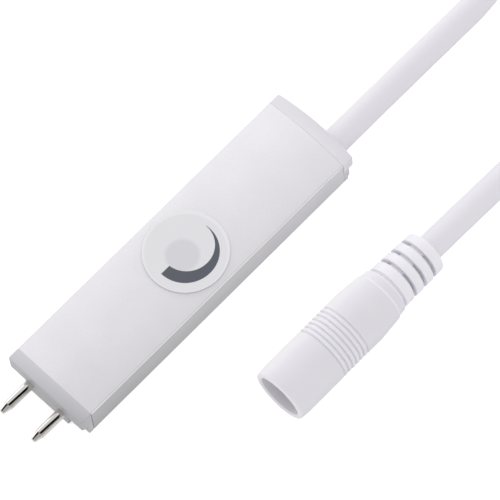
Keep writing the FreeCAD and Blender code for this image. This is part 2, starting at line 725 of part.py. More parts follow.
def make_socket_insulator():
    """Core with the plug's round space, a slot for the leaf and holes for the contacts' tails."""
    core = rod(SOCKET_BORE_RADIUS - FIT, (CORE_FRONT, CORE_BACK), SOCKET_OFFSET, SOCKET_HEIGHT)
    space_end = CORE_FRONT + PLUG_DEPTH
    core = core.cut(rod(SLEEVE_RADIUS + FIT, (CORE_FRONT - 1, space_end), SOCKET_OFFSET, SOCKET_HEIGHT))
    slot_span = (CORE_FRONT - 1, leaf_span()[1] + LEAF_SIDE_GAP)
    core = core.cut(leaf_slot(slot_span, 0, SOCKET_BORE_RADIUS + 1))
    core = core.cut(rod(CONTACT_TAIL_RADIUS + FIT, (0, CORE_BACK + 1), SOCKET_OFFSET, SOCKET_HEIGHT))
    tail = tail_block(space_end - 1, CORE_BACK + 1, FIT)
    return core.cut(tail)


def tail_block(x_start, x_end, margin=0.0):
    """The sleeve contact's flat tail, below the centre pin."""
    half = CONTACT_TAIL_WIDTH / 2 + margin
    bottom = SOCKET_HEIGHT - SLEEVE_RADIUS + SLEEVE_WALL
    return box(
        (x_start, x_end),
        (SOCKET_OFFSET - half, SOCKET_OFFSET + half),
        (bottom - margin, bottom + SLEEVE_WALL + margin),
    )


def make_sleeve_contact():
    """Outer contact: a thin tube open over the leaf, with a closed rear ring and a flat tail."""
    span = (CORE_FRONT + FIT, CORE_FRONT + PLUG_DEPTH - FIT)
    inner = SLEEVE_RADIUS - SLEEVE_WALL
    sleeve = rod(SLEEVE_RADIUS, span, SOCKET_OFFSET, SOCKET_HEIGHT)
    sleeve = sleeve.cut(rod(inner, (span[0] - 1, span[1] + 1), SOCKET_OFFSET, SOCKET_HEIGHT))
    slot_span = (span[0] - 1, leaf_span()[1] + LEAF_SIDE_GAP)
    sleeve = sleeve.cut(leaf_slot(slot_span, 0, SLEEVE_RADIUS + 1))
    foot_bottom = SOCKET_HEIGHT - SLEEVE_RADIUS + SLEEVE_WALL / 2
    half = CONTACT_TAIL_WIDTH / 2
    foot = box(
        (span[1] - 1.0, span[1]),
        (SOCKET_OFFSET - half, SOCKET_OFFSET + half),
        (foot_bottom, foot_bottom + 1.5 * SLEEVE_WALL),
    )
    tail = tail_block(span[1] - 1.0, CORE_BACK + CONTACT_TAIL_LENGTH / 3)
    return sleeve.fuse([foot, tail]).removeSplitter()


def make_centre_pin():
    """Round pin in the middle of the socket, with a thinner tail through the core's back."""
    front = CORE_FRONT + CENTRE_PIN_RECESS
    step = CORE_FRONT + PLUG_DEPTH - FIT
    tail_end = CORE_BACK + CONTACT_TAIL_LENGTH / 3
    shoulder = (front + CENTRE_PIN_NOSE, CENTRE_PIN_RADIUS)
    nose = (front + CENTRE_PIN_NOSE * 0.3, CENTRE_PIN_RADIUS * 0.72)
    outline = [arc((front, 0), nose, shoulder)]
    outline += polyline(
        [
            shoulder,
            (step, CENTRE_PIN_RADIUS),
            (step, CONTACT_TAIL_RADIUS),
            (tail_end, CONTACT_TAIL_RADIUS),
            (tail_end, 0),
            (front, 0),
        ]
    )
    return turned(outline, SOCKET_OFFSET, SOCKET_HEIGHT)


def make_leaf_contact():
    """Sprung strip in the sleeve's slot, with a bump that presses on the plug."""
    front, back = leaf_span()
    inner = SLEEVE_RADIUS - SLEEVE_WALL
    half = LEAF_WIDTH / 2
    bump_start = front + LEAF_THICKNESS
    outline = [
        (front, inner),
        (bump_start, inner),
        (bump_start + LEAF_BUMP_LENGTH / 3, inner - LEAF_BUMP),
        (bump_start + 2 * LEAF_BUMP_LENGTH / 3, inner - LEAF_BUMP),
        (bump_start + LEAF_BUMP_LENGTH, inner),
        (back, inner),
        (back, inner + LEAF_THICKNESS),
        (front, inner + LEAF_THICKNESS),
    ]
    corners = [Vector(x, SOCKET_OFFSET - half, SOCKET_HEIGHT + z) for x, z in outline]
    face = Part.Face(Part.makePolygon(corners + corners[:1]))
    return face.extrude(Vector(0, LEAF_WIDTH, 0))


def drooped(shape):
    """Tilt a piece down about the front of the strain relief."""
    shape.rotate(Vector(RELIEF_START, SOCKET_OFFSET, SOCKET_HEIGHT), Y_AXIS, RELIEF_DROOP)
    return shape


def relief_point(distance):
    """A point of the strain relief's drooping axis, so far behind its front."""
    angle = math.radians(RELIEF_DROOP)
    return Vector(
        RELIEF_START + distance * math.cos(angle),
        SOCKET_OFFSET,
        SOCKET_HEIGHT - distance * math.sin(angle),
    )


def make_strain_relief():
    """Tapered sleeve whose rings are joined by low webs, with its neck cut square to the connector."""
    end = RELIEF_START + RELIEF_LENGTH
    neck_start = SOCKET_END - RELIEF_GAP
    neck_end = RELIEF_START + RELIEF_NECK_LENGTH
    bore = CORD_RADIUS + FIT
    stem_radius = SOCKET_REAR_BORE_RADIUS - 4 * FIT
    outline = polyline(
        [
            (RELIEF_START - RELIEF_STEM_LENGTH, bore),
            (RELIEF_START - RELIEF_STEM_LENGTH, stem_radius),
            (neck_start, stem_radius),
            (neck_start, RELIEF_NECK_RADIUS),
            (neck_end, RELIEF_NECK_RADIUS),
            (neck_end, RELIEF_FRONT_RADIUS),
            (end - TAIL_ROUND, RELIEF_REAR_RADIUS),
        ]
    )
    round_middle = (
        end - TAIL_ROUND * (1 - math.sin(math.pi / 4)),
        RELIEF_REAR_RADIUS - TAIL_ROUND * (1 - math.cos(math.pi / 4)),
    )
    outline.append(
        arc((end - TAIL_ROUND, RELIEF_REAR_RADIUS), round_middle, (end, RELIEF_REAR_RADIUS - TAIL_ROUND))
    )
    outline += polyline(
        [(end, RELIEF_REAR_RADIUS - TAIL_ROUND), (end, bore), (RELIEF_START - RELIEF_STEM_LENGTH, bore)]
    )
    sleeve = turned(outline, SOCKET_OFFSET, SOCKET_HEIGHT)
    web_reach = RELIEF_REAR_RADIUS - WEB_RECESS
    web = box(
        (RELIEF_START, end),
        (SOCKET_OFFSET - WEB_WIDTH / 2, SOCKET_OFFSET + WEB_WIDTH / 2),
        (SOCKET_HEIGHT - web_reach, SOCKET_HEIGHT + web_reach),
    )
    web = web.common(rod(web_reach, (RELIEF_START, end), SOCKET_OFFSET, SOCKET_HEIGHT))
    web.rotate(Vector(0, SOCKET_OFFSET, SOCKET_HEIGHT), X_AXIS, WEB_TURN)
    first_slot = neck_end + FIRST_RING_EXTRA + RING_WIDTH
    for number in range(RELIEF_SLOT_COUNT):
        start = first_slot + number * (RING_WIDTH + SLOT_WIDTH)
        span = (start, start + SLOT_WIDTH)
        slot = rod(2 * RELIEF_FRONT_RADIUS, span, SOCKET_OFFSET, SOCKET_HEIGHT)
        slot = slot.cut(rod(bore + RELIEF_CORE_WALL, span, SOCKET_OFFSET, SOCKET_HEIGHT))
        sleeve = sleeve.cut(slot.cut(web))
    overlap = rod(2 * RELIEF_FRONT_RADIUS, (neck_start - 1, SOCKET_END + SEAT), SOCKET_OFFSET, SOCKET_HEIGHT)
    overlap = overlap.cut(rod(SOCKET_REAR_BORE_RADIUS - SEAT, (0, end), SOCKET_OFFSET, SOCKET_HEIGHT))
    return drooped(sleeve).cut(overlap)


def make_cord_tail():
    """The cord's sheath inside the strain relief."""
    span = (RELIEF_START - RELIEF_STEM_LENGTH, RELIEF_START + RELIEF_LENGTH)
    return drooped(rod(CORD_RADIUS, span, SOCKET_OFFSET, SOCKET_HEIGHT))


def make_socket_wire(side):
    """Conductor from the cord's end to the tail of a contact."""
    start_x = CORE_BACK + CONTACT_TAIL_LENGTH / 3 + SEAT
    tail_z = SOCKET_HEIGHT - SLEEVE_RADIUS + SLEEVE_WALL + WIRE_RADIUS
    first_z = SOCKET_HEIGHT if side > 0 else tail_z
    last = relief_point(-RELIEF_STEM_LENGTH - 2 * FIT)
    last = last + Vector(0, 0, side * WIRE_SPREAD)
    middle = (start_x + last.x) / 2
    points = [
        Vector(start_x, SOCKET_OFFSET, first_z),
        Vector(middle - 0.6, SOCKET_OFFSET, first_z),
        Vector(middle + 0.6, SOCKET_OFFSET, last.z),
        last,
    ]
    return tube(points, WIRE_RADIUS)[0]


def cord_route():
    """The free cord's points, from the cap to the strain relief, lying on the floor in an open loop."""
    floor = CORD_RADIUS
    exit_point = Vector(FAR_FACE + SEAT, CORD_OFFSET, CORD_HEIGHT)
    return [
        exit_point,
        exit_point + Vector(18.6, 0, 0),
        Vector(80.0, CORD_OFFSET, floor),
        Vector(99.9, 12.1, floor),
        Vector(121.3, 10.3, floor),
        Vector(135.9, -5.5, floor),
        Vector(135.9, -27.0, floor),
        Vector(121.3, -42.8, floor),
        Vector(99.9, -44.6, floor),
        Vector(80.0, SOCKET_OFFSET, floor),
        Vector(57.0, SOCKET_OFFSET, floor),
        relief_point(RELIEF_LENGTH + 10.0),
        relief_point(RELIEF_LENGTH + SEAT),
    ]


def make_power_cord():
    """The free lead from the housing to its connector."""
    solid, radii, length = tube(cord_route(), CORD_RADIUS)
    expected = math.pi * CORD_RADIUS**2 * length
    print("power_cord radii " + " ".join(f"{radius:.0f}" for radius in radii))
    print(f"power_cord length {length:.1f} mm, volume over section times length {solid.Volume / expected:.5f}")
    return solid


def parts():
    """Every piece by its name."""
    return {
        "housing": make_housing(),
        "base_cover": make_base_cover(),
        "pin_end_cap": make_pin_end_cap(),
        "cord_end_cap": make_cord_end_cap(),
        "left_pin": make_pin(1),
        "right_pin": make_pin(-1),
        "touch_disc": make_touch_disc(),
        "level_arc": make_level_arc(),
        "touch_spring": make_touch_spring(),
        "circuit_board": make_circuit_board(),
        "indicator_led": on_board(LED_SIZE, DISC_OFFSET, 0),
        "touch_controller": make_touch_controller(),
        "power_mosfet": make_power_mosfet(),
        "supply_diode": make_supply_diode(),
        "chip_capacitors": make_chip_capacitors(),
        "chip_resistors": make_chip_resistors(),
        "cord_stop": make_cord_stop(),
        "cord_entry": make_cord_entry(),
        "supply_wire": make_inner_wire(1),
        "return_wire": make_inner_wire(-1),
        "power_cord": make_power_cord(),
        "socket_overmould": make_socket_overmould(),
        "socket_insulator": make_socket_insulator(),
        "sleeve_contact": make_sleeve_contact(),
        "leaf_contact": make_leaf_contact(),
        "centre_pin": make_centre_pin(),
        "strain_relief": make_strain_relief(),
        "cord_tail": make_cord_tail(),
        "socket_supply_wire": make_socket_wire(1),
        "socket_return_wire": make_socket_wire(-1),
    }


os.makedirs("parts", exist_ok=True)
for name, shape in parts().items():
    shape.exportStep(f"parts/{name}.step")
    print(f"{name} solids {len(shape.Solids)} valid {shape.isValid()} volume {shape.Volume:.2f}")
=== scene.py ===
"""Looks of an inline touch dimmer switch: finishes, smooth pieces, lead, studio and camera.

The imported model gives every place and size. All lengths are in metres, +Z up, with the housing along X.
"""

import json
import logging
import math
from dataclasses import dataclass, replace
from enum import Enum
from typing import Callable, Iterable, Sequence

import bmesh
import bpy
from mathutils import Matrix, Vector


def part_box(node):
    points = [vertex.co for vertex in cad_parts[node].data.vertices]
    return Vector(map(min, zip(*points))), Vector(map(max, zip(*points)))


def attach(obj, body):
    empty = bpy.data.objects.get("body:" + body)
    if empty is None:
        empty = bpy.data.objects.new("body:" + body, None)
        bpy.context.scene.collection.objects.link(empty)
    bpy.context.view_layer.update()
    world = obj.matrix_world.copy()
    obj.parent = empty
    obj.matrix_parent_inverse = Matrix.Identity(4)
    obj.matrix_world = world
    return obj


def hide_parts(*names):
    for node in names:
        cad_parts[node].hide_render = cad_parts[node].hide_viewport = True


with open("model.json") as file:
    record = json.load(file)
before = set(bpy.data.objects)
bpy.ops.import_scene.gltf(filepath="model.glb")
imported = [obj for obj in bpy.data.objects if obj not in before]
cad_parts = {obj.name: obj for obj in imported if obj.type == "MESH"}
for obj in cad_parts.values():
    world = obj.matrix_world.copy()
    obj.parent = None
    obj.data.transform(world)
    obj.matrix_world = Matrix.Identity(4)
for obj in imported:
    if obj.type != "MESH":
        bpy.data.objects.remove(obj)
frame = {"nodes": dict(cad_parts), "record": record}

LOG = logging.getLogger("touch_dimmer")
MM = 0.001
BODY = "switch"
BLACK, WHITE = (0.0, 0.0, 0.0), (1.0, 1.0, 1.0)
GRAIN_INPUTS = ("Grain Size", "Grain Depth", "Stretch", "Tint Spread", "Roughness", "Roughness Spread")
RING_POINTS = 128
WEB_POINTS = 17
CORNER_POINTS = 5
DISC_LOW, DISC_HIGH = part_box("touch_disc")
HOUSING_LOW, HOUSING_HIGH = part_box("housing")

Colour = tuple[float, float, float]
Inputs = dict[str | int, object]
Profile = list[tuple[float, float]]
Socket = bpy.types.NodeSocket


class Slot(Enum):
    """The record's material slots."""

    HOUSING = "housing_metal"
    CAP = "cap_plastic"
    PIN_CAP = "pin_cap_plastic"
    DISC = "disc_plastic"
    PRINT = "slate_print"
    PIN = "pin_metal"
    CONTACT = "contact_metal"
    SPRING = "spring_metal"
    BOARD = "board_laminate"
    CHIP = "chip_black"
    CERAMIC = "chip_ceramic"
    LAMP = "lamp_plastic"
    SHEATH = "cord_sheath"
    RED_WIRE = "red_insulation"
    BLACK_WIRE = "black_insulation"
    SOCKET = "socket_plastic"
    CORE = "core_plastic"


def linear(channel: int) -> float:
    """A display colour's channel, from 0 to 255, in linear light."""
    share = channel / 255
    return share / 12.92 if share <= 0.04045 else ((share + 0.055) / 1.055) ** 2.4


def from_bytes(red: int, green: int, blue: int) -> Colour:
    """A display colour, with channels from 0 to 255, in linear light."""
    return linear(red), linear(green), linear(blue)


def field_of(owner: object, label: str) -> object:
    """The value of the field that an input's label names, such as edge_round for Edge Round."""
    return getattr(owner, label.lower().replace(" ", "_"))


class Graph:
    """Adds nodes to a tree and joins them."""

    def __init__(self, tree: bpy.types.NodeTree) -> None:
        """Keep the tree that is built."""
        self.tree = tree

    def feed(self, sink: Socket, value: object) -> None:
        """Join an output to an input, or give the input a fixed value.

        Args:
            sink: The input.
            value: An output, a number, a colour or whatever else the input holds.
        """
        if isinstance(value, Socket):
            self.tree.links.new(value, sink)
        else:
            sink.default_value = (*value, 1) if sink.type == "RGBA" else value

    def add(self, kind: str, inputs: Inputs | None = None, **settings: object) -> bpy.types.Node:
        """Add one node.

        Args:
            kind: Blender's identifier of the node.
            inputs: What goes into its inputs, by their names or numbers.
            **settings: Attributes of the node.

        Returns:
            The new node.
        """
        node = self.tree.nodes.new(kind)
        for name, value in settings.items():
            setattr(node, name, value)
        for key, value in (inputs or {}).items():
            self.feed(node.inputs[key], value)
        return node

    def out(self, kind: str, inputs: Inputs | None = None, **settings: object) -> Socket:
        """The first output of a node that is added in the same way."""
        return self.add(kind, inputs, **settings).outputs[0]

    def maths(self, operation: str, *values: float | Socket) -> Socket:
        """The result of a Math node on numbers or outputs."""
        return self.out("ShaderNodeMath", dict(enumerate(values)), operation=operation)

    def scaled(self, colour: Socket, tone: Socket) -> Socket:
        """A colour or vector times a number."""
        return self.out("ShaderNodeVectorMath", {0: colour, "Scale": tone}, operation="SCALE")

    def mixed(self, share: Socket, first: Colour | Socket, second: Colour | Socket) -> Socket:
        """A mix of two colours, all the first where the share is 0 and all the second where it is 1."""
        inputs = {"Factor": share, 6: first, 7: second}
        return self.add("ShaderNodeMix", inputs, data_type="RGBA").outputs[2]

    def reading(self, kind: str) -> Socket:
        """The surface's Object coordinates or Normal, or the world's Generated direction."""
        return self.add("ShaderNodeTexCoord").outputs[kind]

    def split(self, kind: str) -> bpy.types.bpy_prop_collection:
        """X, Y and Z of a reading."""
        return self.add("ShaderNodeSeparateXYZ", {0: self.reading(kind)}).outputs

    def share(
        self, value: Socket, limits: tuple[float, float], full: float = 1.0, smooth: bool = True
    ) -> Socket:
        """How far a value has come between two limits.

        Args:
            value: The value.
            limits: Where the share is 0 and where it is full.
            full: The largest share.
            smooth: Whether the share starts and ends softly.

        Returns:
            The share.
        """
        kind = "SMOOTHSTEP" if smooth else "LINEAR"
        inputs = {"Value": value, "From Min": limits[0], "From Max": limits[1], "To Max": full}
        return self.out("ShaderNodeMapRange", inputs, interpolation_type=kind)

    def ramp(self, value: Socket, steps: Iterable[float], colours: Iterable[Colour]) -> Socket:
        """Turn a value into a colour.

        Args:
            value: The value, from 0 to 1.
            steps: The values that have a colour, in rising order.
            colours: Their colours.

        Returns:
            The colour.
        """
        node = self.add("ShaderNodeValToRGB", {0: value})
        stops = node.color_ramp.elements
        (first, start), *between, (last, end) = zip(steps, colours)
        stops[0].position, stops[0].color = first, (*start, 1)
        stops[1].position, stops[1].color = last, (*end, 1)
        for step, colour in between:
            stops.new(step).color = (*colour, 1)
        return node.outputs[0]


def surface_grain_group() -> bpy.types.ShaderNodeTree:
    """Build the shared effect of a surface grain with a fine and a broad scale, once.

    Returns:
        The node group, with a colour, a roughness and a normal as its outputs.
    """
    known = bpy.data.node_groups.get("surface_grain")
    if known:
        return known
    broad_share = 0.04
    tree = bpy.data.node_groups.new("surface_grain", "ShaderNodeTree")
    for name in GRAIN_INPUTS:
        tree.interface.new_socket(name, in_out="INPUT", socket_type="NodeSocketFloat")
    tree.interface.new_socket("Colour", in_out="INPUT", socket_type="NodeSocketColor")
    for name, kind in (("Colour", "Color"), ("Roughness", "Float"), ("Normal", "Vector")):
        tree.interface.new_socket(name, in_out="OUTPUT", socket_type="NodeSocket" + kind)
    graph = Graph(tree)
    given = graph.add("NodeGroupInput").outputs
    along = graph.maths("DIVIDE", 1.0, given["Stretch"])
    squeeze = graph.out("ShaderNodeCombineXYZ", {"X": along, "Y": 1.0, "Z": 1.0})
    place = graph.out("ShaderNodeVectorMath", {0: graph.reading("Object"), 1: squeeze}, operation="MULTIPLY")
    scale = graph.maths("DIVIDE", 1.0, given["Grain Size"])
    broad_scale = graph.maths("MULTIPLY", scale, broad_share)
    fine_inputs = {"Vector": place, "Scale": scale, "Detail": 4.0, "Roughness": 0.6}
    fine = graph.out("ShaderNodeTexNoise", fine_inputs)
    broad = graph.out("ShaderNodeTexNoise", {"Vector": place, "Scale": broad_scale, "Detail": 2.0})
    centred = graph.maths("SUBTRACT", graph.maths("ADD", fine, broad), 1.0)
    tint = graph.maths("MULTIPLY_ADD", centred, given["Tint Spread"], 1.0)
    roughness = graph.maths("MULTIPLY_ADD", centred, given["Roughness Spread"], given["Roughness"])
    normal = graph.out("ShaderNodeBump", {"Height": fine, "Distance": given["Grain Depth"]})
    colour = graph.scaled(given["Colour"], tint)
    graph.add("NodeGroupOutput", {"Colour": colour, "Roughness": roughness, "Normal": normal})
    return tree


@dataclass(frozen=True)
class Finish:
    """One finish: a base colour, its gloss and a fine grain."""

    name: str
    colour: Colour
    roughness: float = 0.4
    metallic: float = 0.0
    grain_size: float = 0.2 * MM
    grain_depth: float = 0.004 * MM
    stretch: float = 1.0
    tint_spread: float = 0.03
    roughness_spread: float = 0.06
    specular: float = 0.5
    coat: float = 0.0
    coat_roughness: float = 0.1
    subsurface: float = 0.0
    subsurface_reach: float = 1.0 * MM
    subsurface_tint: Colour = (1.0, 0.95, 0.9)

    def material(self) -> bpy.types.Material:
        """Build the material, once.

        Returns:
            The material of this finish.
        """
        known = bpy.data.materials.get(self.name)
        if known:
            return known
        material = bpy.data.materials.new(self.name)
        material.use_nodes = True
        graph = Graph(material.node_tree)
        inputs = {name: field_of(self, name) for name in GRAIN_INPUTS}
        inputs["Colour"] = self.pattern(graph)
        grain = graph.add("ShaderNodeGroup", inputs, node_tree=surface_grain_group()).outputs
        looks = {
            "Base Color": grain["Colour"],
            "Roughness": grain["Roughness"],
            "Normal": grain["Normal"],
            "Metallic": self.metallic,
            "Specular IOR Level": self.specular,
            "Coat Weight": self.coat,
            "Coat Roughness": self.coat_roughness,
            "Subsurface Weight": self.subsurface,
            "Subsurface Scale": self.subsurface_reach,
            "Subsurface Radius": self.subsurface_tint,
        }
        shader = material.node_tree.nodes["Principled BSDF"]
        for name, value in looks.items():
            graph.feed(shader.inputs[name], value)
        return material

    def pattern(self, graph: Graph) -> Colour | Socket:
        """A plain finish has one colour all over."""
        return self.colour


@dataclass(frozen=True)
class AnodisedMetal(Finish):
    """Anodised extrusion: a pale top, sides in painted shade, painted edge highlights, and painted light and
    shade over its faces.

    The steps are values of how far up the surface faces, from 0 on a side to 1 on top. Face steps are where
    the side's painted shade ends, the painted shade line starts and ends, and the top's colour starts. Edge
    highlight steps are where the painted edge highlight starts, is full, is full no more, and ends.
    """

    # Painted shade on the sides, a painted highlight on the rounded edges and a painted shade line just
    # inside them.
    side: Colour = WHITE
    edge: Colour = WHITE
    painted_shade_line: Colour = WHITE
    face_steps: tuple[float, ...] = (0.1, 0.9, 0.95, 0.985)
    edge_highlight_steps: tuple[float, ...] = (0.1, 0.3, 0.86, 0.92)
    # Painted light and shade: lighter towards +Y and +X on top, and towards +X and upwards on the sides.
    painted_light_across: float = 0.1
    painted_tone_along: float = 0.12
    painted_tone_up: float = 0.04
    top_share: float = 0.28

    def pattern(self, graph: Graph) -> Socket:
        """Choose the colour by how far the surface faces up, with painted shade and highlights, and paint
        light and shade over the faces.

        Args:
            graph: The material's tree.

        Returns:
            The colour.
        """
        up = graph.split("Normal")["Z"]
        plain = graph.ramp(up, self.face_steps, (self.side, self.painted_shade_line, self.painted_shade_line, self.colour))
        # Painted highlight on the rounded edges
        edge_highlight_share = graph.ramp(up, self.edge_highlight_steps, (BLACK, WHITE, WHITE, BLACK))
        # Painted light and shade that change slowly over the faces
        place = graph.split("Object")
        size = HOUSING_HIGH - HOUSING_LOW
        along = graph.maths("MULTIPLY", place["X"], 2 * self.painted_tone_along / size.x)
        along_and_up = graph.maths("MULTIPLY_ADD", place["Z"], self.painted_tone_up / size.z, along)
        on_side = graph.maths("SUBTRACT", 1.0, graph.maths("ABSOLUTE", up))
        painted_side_tone = graph.maths("MULTIPLY", along_and_up, on_side)
        across = graph.maths("MULTIPLY_ADD", place["Y"], 2 * self.painted_light_across / size.y, 1.0)
        painted_top_tone = graph.maths("MULTIPLY_ADD", along, self.top_share, across)
        toned = graph.scaled(plain, graph.maths("ADD", painted_top_tone, painted_side_tone))
        return graph.mixed(edge_highlight_share, toned, self.edge)


@dataclass(frozen=True)
class HoodedPlasticPaintedShade(Finish):
    """Moulded plastic with painted shade on its upright faces above and below a hood's lower edge, painted
    light towards +Y, and darker towards its outer end.
    """

    # Painted tones for upright faces above and below the hood's lower edge, standing in for their shade
    upright: Colour = WHITE
    below: Colour = WHITE
    hood_bottom: float = 3.5 * MM
    top_limits: tuple[float, float] = (0.1, 0.9)
    painted_light_across: float = 0.05
    upright_share: float = 0.4
    tone_outward: float = 0.034 / MM
    middle: float = 32.0 * MM

    def pattern(self, graph: Graph) -> Socket:
        """Choose the colour by how far the surface faces up and by its height, with painted shade, and paint
        light towards +Y.

        Args:
            graph: The material's tree.

        Returns:
            The colour.
        """
        place = graph.split("Object")
        under = graph.maths("LESS_THAN", place["Z"], self.hood_bottom)
        upright = graph.mixed(under, self.upright, self.below)
        on_top = graph.share(graph.split("Normal")["Z"], self.top_limits, smooth=False)
        plain = graph.mixed(on_top, upright, self.colour)
        # Painted light towards +Y, weaker on upright faces, and darker towards the outer end
        across = graph.maths("MULTIPLY", place["Y"], self.painted_light_across / HOUSING_HIGH.y)
        strength = graph.maths("MULTIPLY_ADD", on_top, 1 - self.upright_share, self.upright_share)
        inward = graph.maths("SUBTRACT", self.middle, graph.maths("ABSOLUTE", place["X"]))
        tone = graph.maths("MULTIPLY_ADD", inward, self.tone_outward, 1.0)
        return graph.scaled(plain, graph.maths("MULTIPLY_ADD", across, strength, tone))


@dataclass(frozen=True)
class PlasticPaintedSidelight(Finish):
    """Moulded plastic with painted light: a little lighter on its +Y side and where it faces along X."""

    # Painted light on the +Y side and where the surface faces along X
    lit: Colour = WHITE
    painted_side_light_share: float = 0.72
    painted_light_limits: tuple[float, float] = (0.2, 0.7)

    def pattern(self, graph: Graph) -> Socket:
        """Paint light by the way that the surface faces.

        Args:
            graph: The material's tree.

        Returns:
            The colour.
        """
        facing = graph.split("Normal")
        sideways = graph.maths("MULTIPLY", facing["Y"], self.painted_side_light_share)
        lit = graph.maths("MAXIMUM", graph.maths("ABSOLUTE", facing["X"]), sideways)
        return graph.mixed(graph.share(lit, self.painted_light_limits), self.colour, self.lit)


@dataclass(frozen=True)
class ReliefWithPaintedShade(Finish):
    """Soft plastic with painted shade that darkens it towards the core of a tilted round piece."""

    start: tuple[float, float, float] = (0.0, 0.0, 0.0)
    droop: float = 3.5
    # Painted shade down towards the core, in the slots
    painted_slot_shade: Colour = BLACK
    deep_radius: float = 3.0 * MM
    full_radius: float = 4.0 * MM

    def pattern(self, graph: Graph) -> Socket:
        """Paint shade by the distance from the piece's axis.

        Args:
            graph: The material's tree.

        Returns:
            The colour.
        """
        angle = math.radians(self.droop)
        axis = (math.cos(angle), 0.0, -math.sin(angle))
        inputs = {0: graph.reading("Object"), 1: self.start}
        offset = graph.out("ShaderNodeVectorMath", inputs, operation="SUBTRACT")
        across = graph.out("ShaderNodeVectorMath", {0: offset, 1: axis}, operation="CROSS_PRODUCT")
        distance = graph.add("ShaderNodeVectorMath", {0: across}, operation="LENGTH").outputs["Value"]
        limits = (self.deep_radius, self.full_radius)
        return graph.mixed(graph.share(distance, limits, smooth=False), self.painted_slot_shade, self.colour)


@dataclass(frozen=True)
class MilkyKey(Finish):
    """Milky plastic with a soft darker round where the parts below show through, a painted highlight at its
    rim and painted shade on its upright side.
    """

    shade: Colour = WHITE
    shade_shift: tuple[float, float] = (-0.9 * MM, -0.1 * MM)
    shade_radius: float = 2.95 * MM
    shade_blur: float = 0.9 * MM
    # Painted highlight at the rim
    rim: Colour = WHITE
    rim_shift: tuple[float, float] = (-0.2 * MM, -0.2 * MM)
    rim_radius: float = 7.05 * MM
    rim_blur: float = 0.3 * MM
    # Painted shade on the upright side
    side: Colour = WHITE
    top_limits: tuple[float, float] = (0.3, 0.7)

    def pattern(self, graph: Graph) -> Socket:
        """Darken the base colour inside the round, paint shade on the upright side and paint a highlight at
        the rim.

        Args:
            graph: The material's tree.

        Returns:
            The mixed colour.
        """
        off_shade = self.beyond(graph, self.shade_shift, self.shade_radius, self.shade_blur)
        shaded = graph.mixed(off_shade, self.shade, self.colour)
        # Painted highlight at the rim and painted shade on the upright side
        rim_highlight_share = self.beyond(graph, self.rim_shift, self.rim_radius, self.rim_blur)
        top = graph.mixed(rim_highlight_share, shaded, self.rim)
        upward = graph.share(graph.split("Normal")["Z"], self.top_limits, smooth=False)
        return graph.mixed(upward, self.side, top)

    @staticmethod
    def beyond(graph: Graph, shift: tuple[float, float], radius: float, blur: float) -> Socket:
        """One outside a round area seen from above, and nothing inside it.

        Args:
            graph: The material's tree.
            shift: From the disc's middle to the round area's.
            radius: The area's radius.
            blur: How wide its soft edge is.

        Returns:
            The share.
        """
        middle = (DISC_LOW + DISC_HIGH) / 2
        place = graph.split("Object")
        aside = graph.maths("SUBTRACT", place["X"], middle.x + shift[0])
        across = graph.maths("SUBTRACT", place["Y"], middle.y + shift[1])
        squares = graph.maths("ADD", graph.maths("POWER", aside, 2.0), graph.maths("POWER", across, 2.0))
        return graph.share(graph.maths("SQRT", squares), (radius - blur / 2, radius + blur / 2))


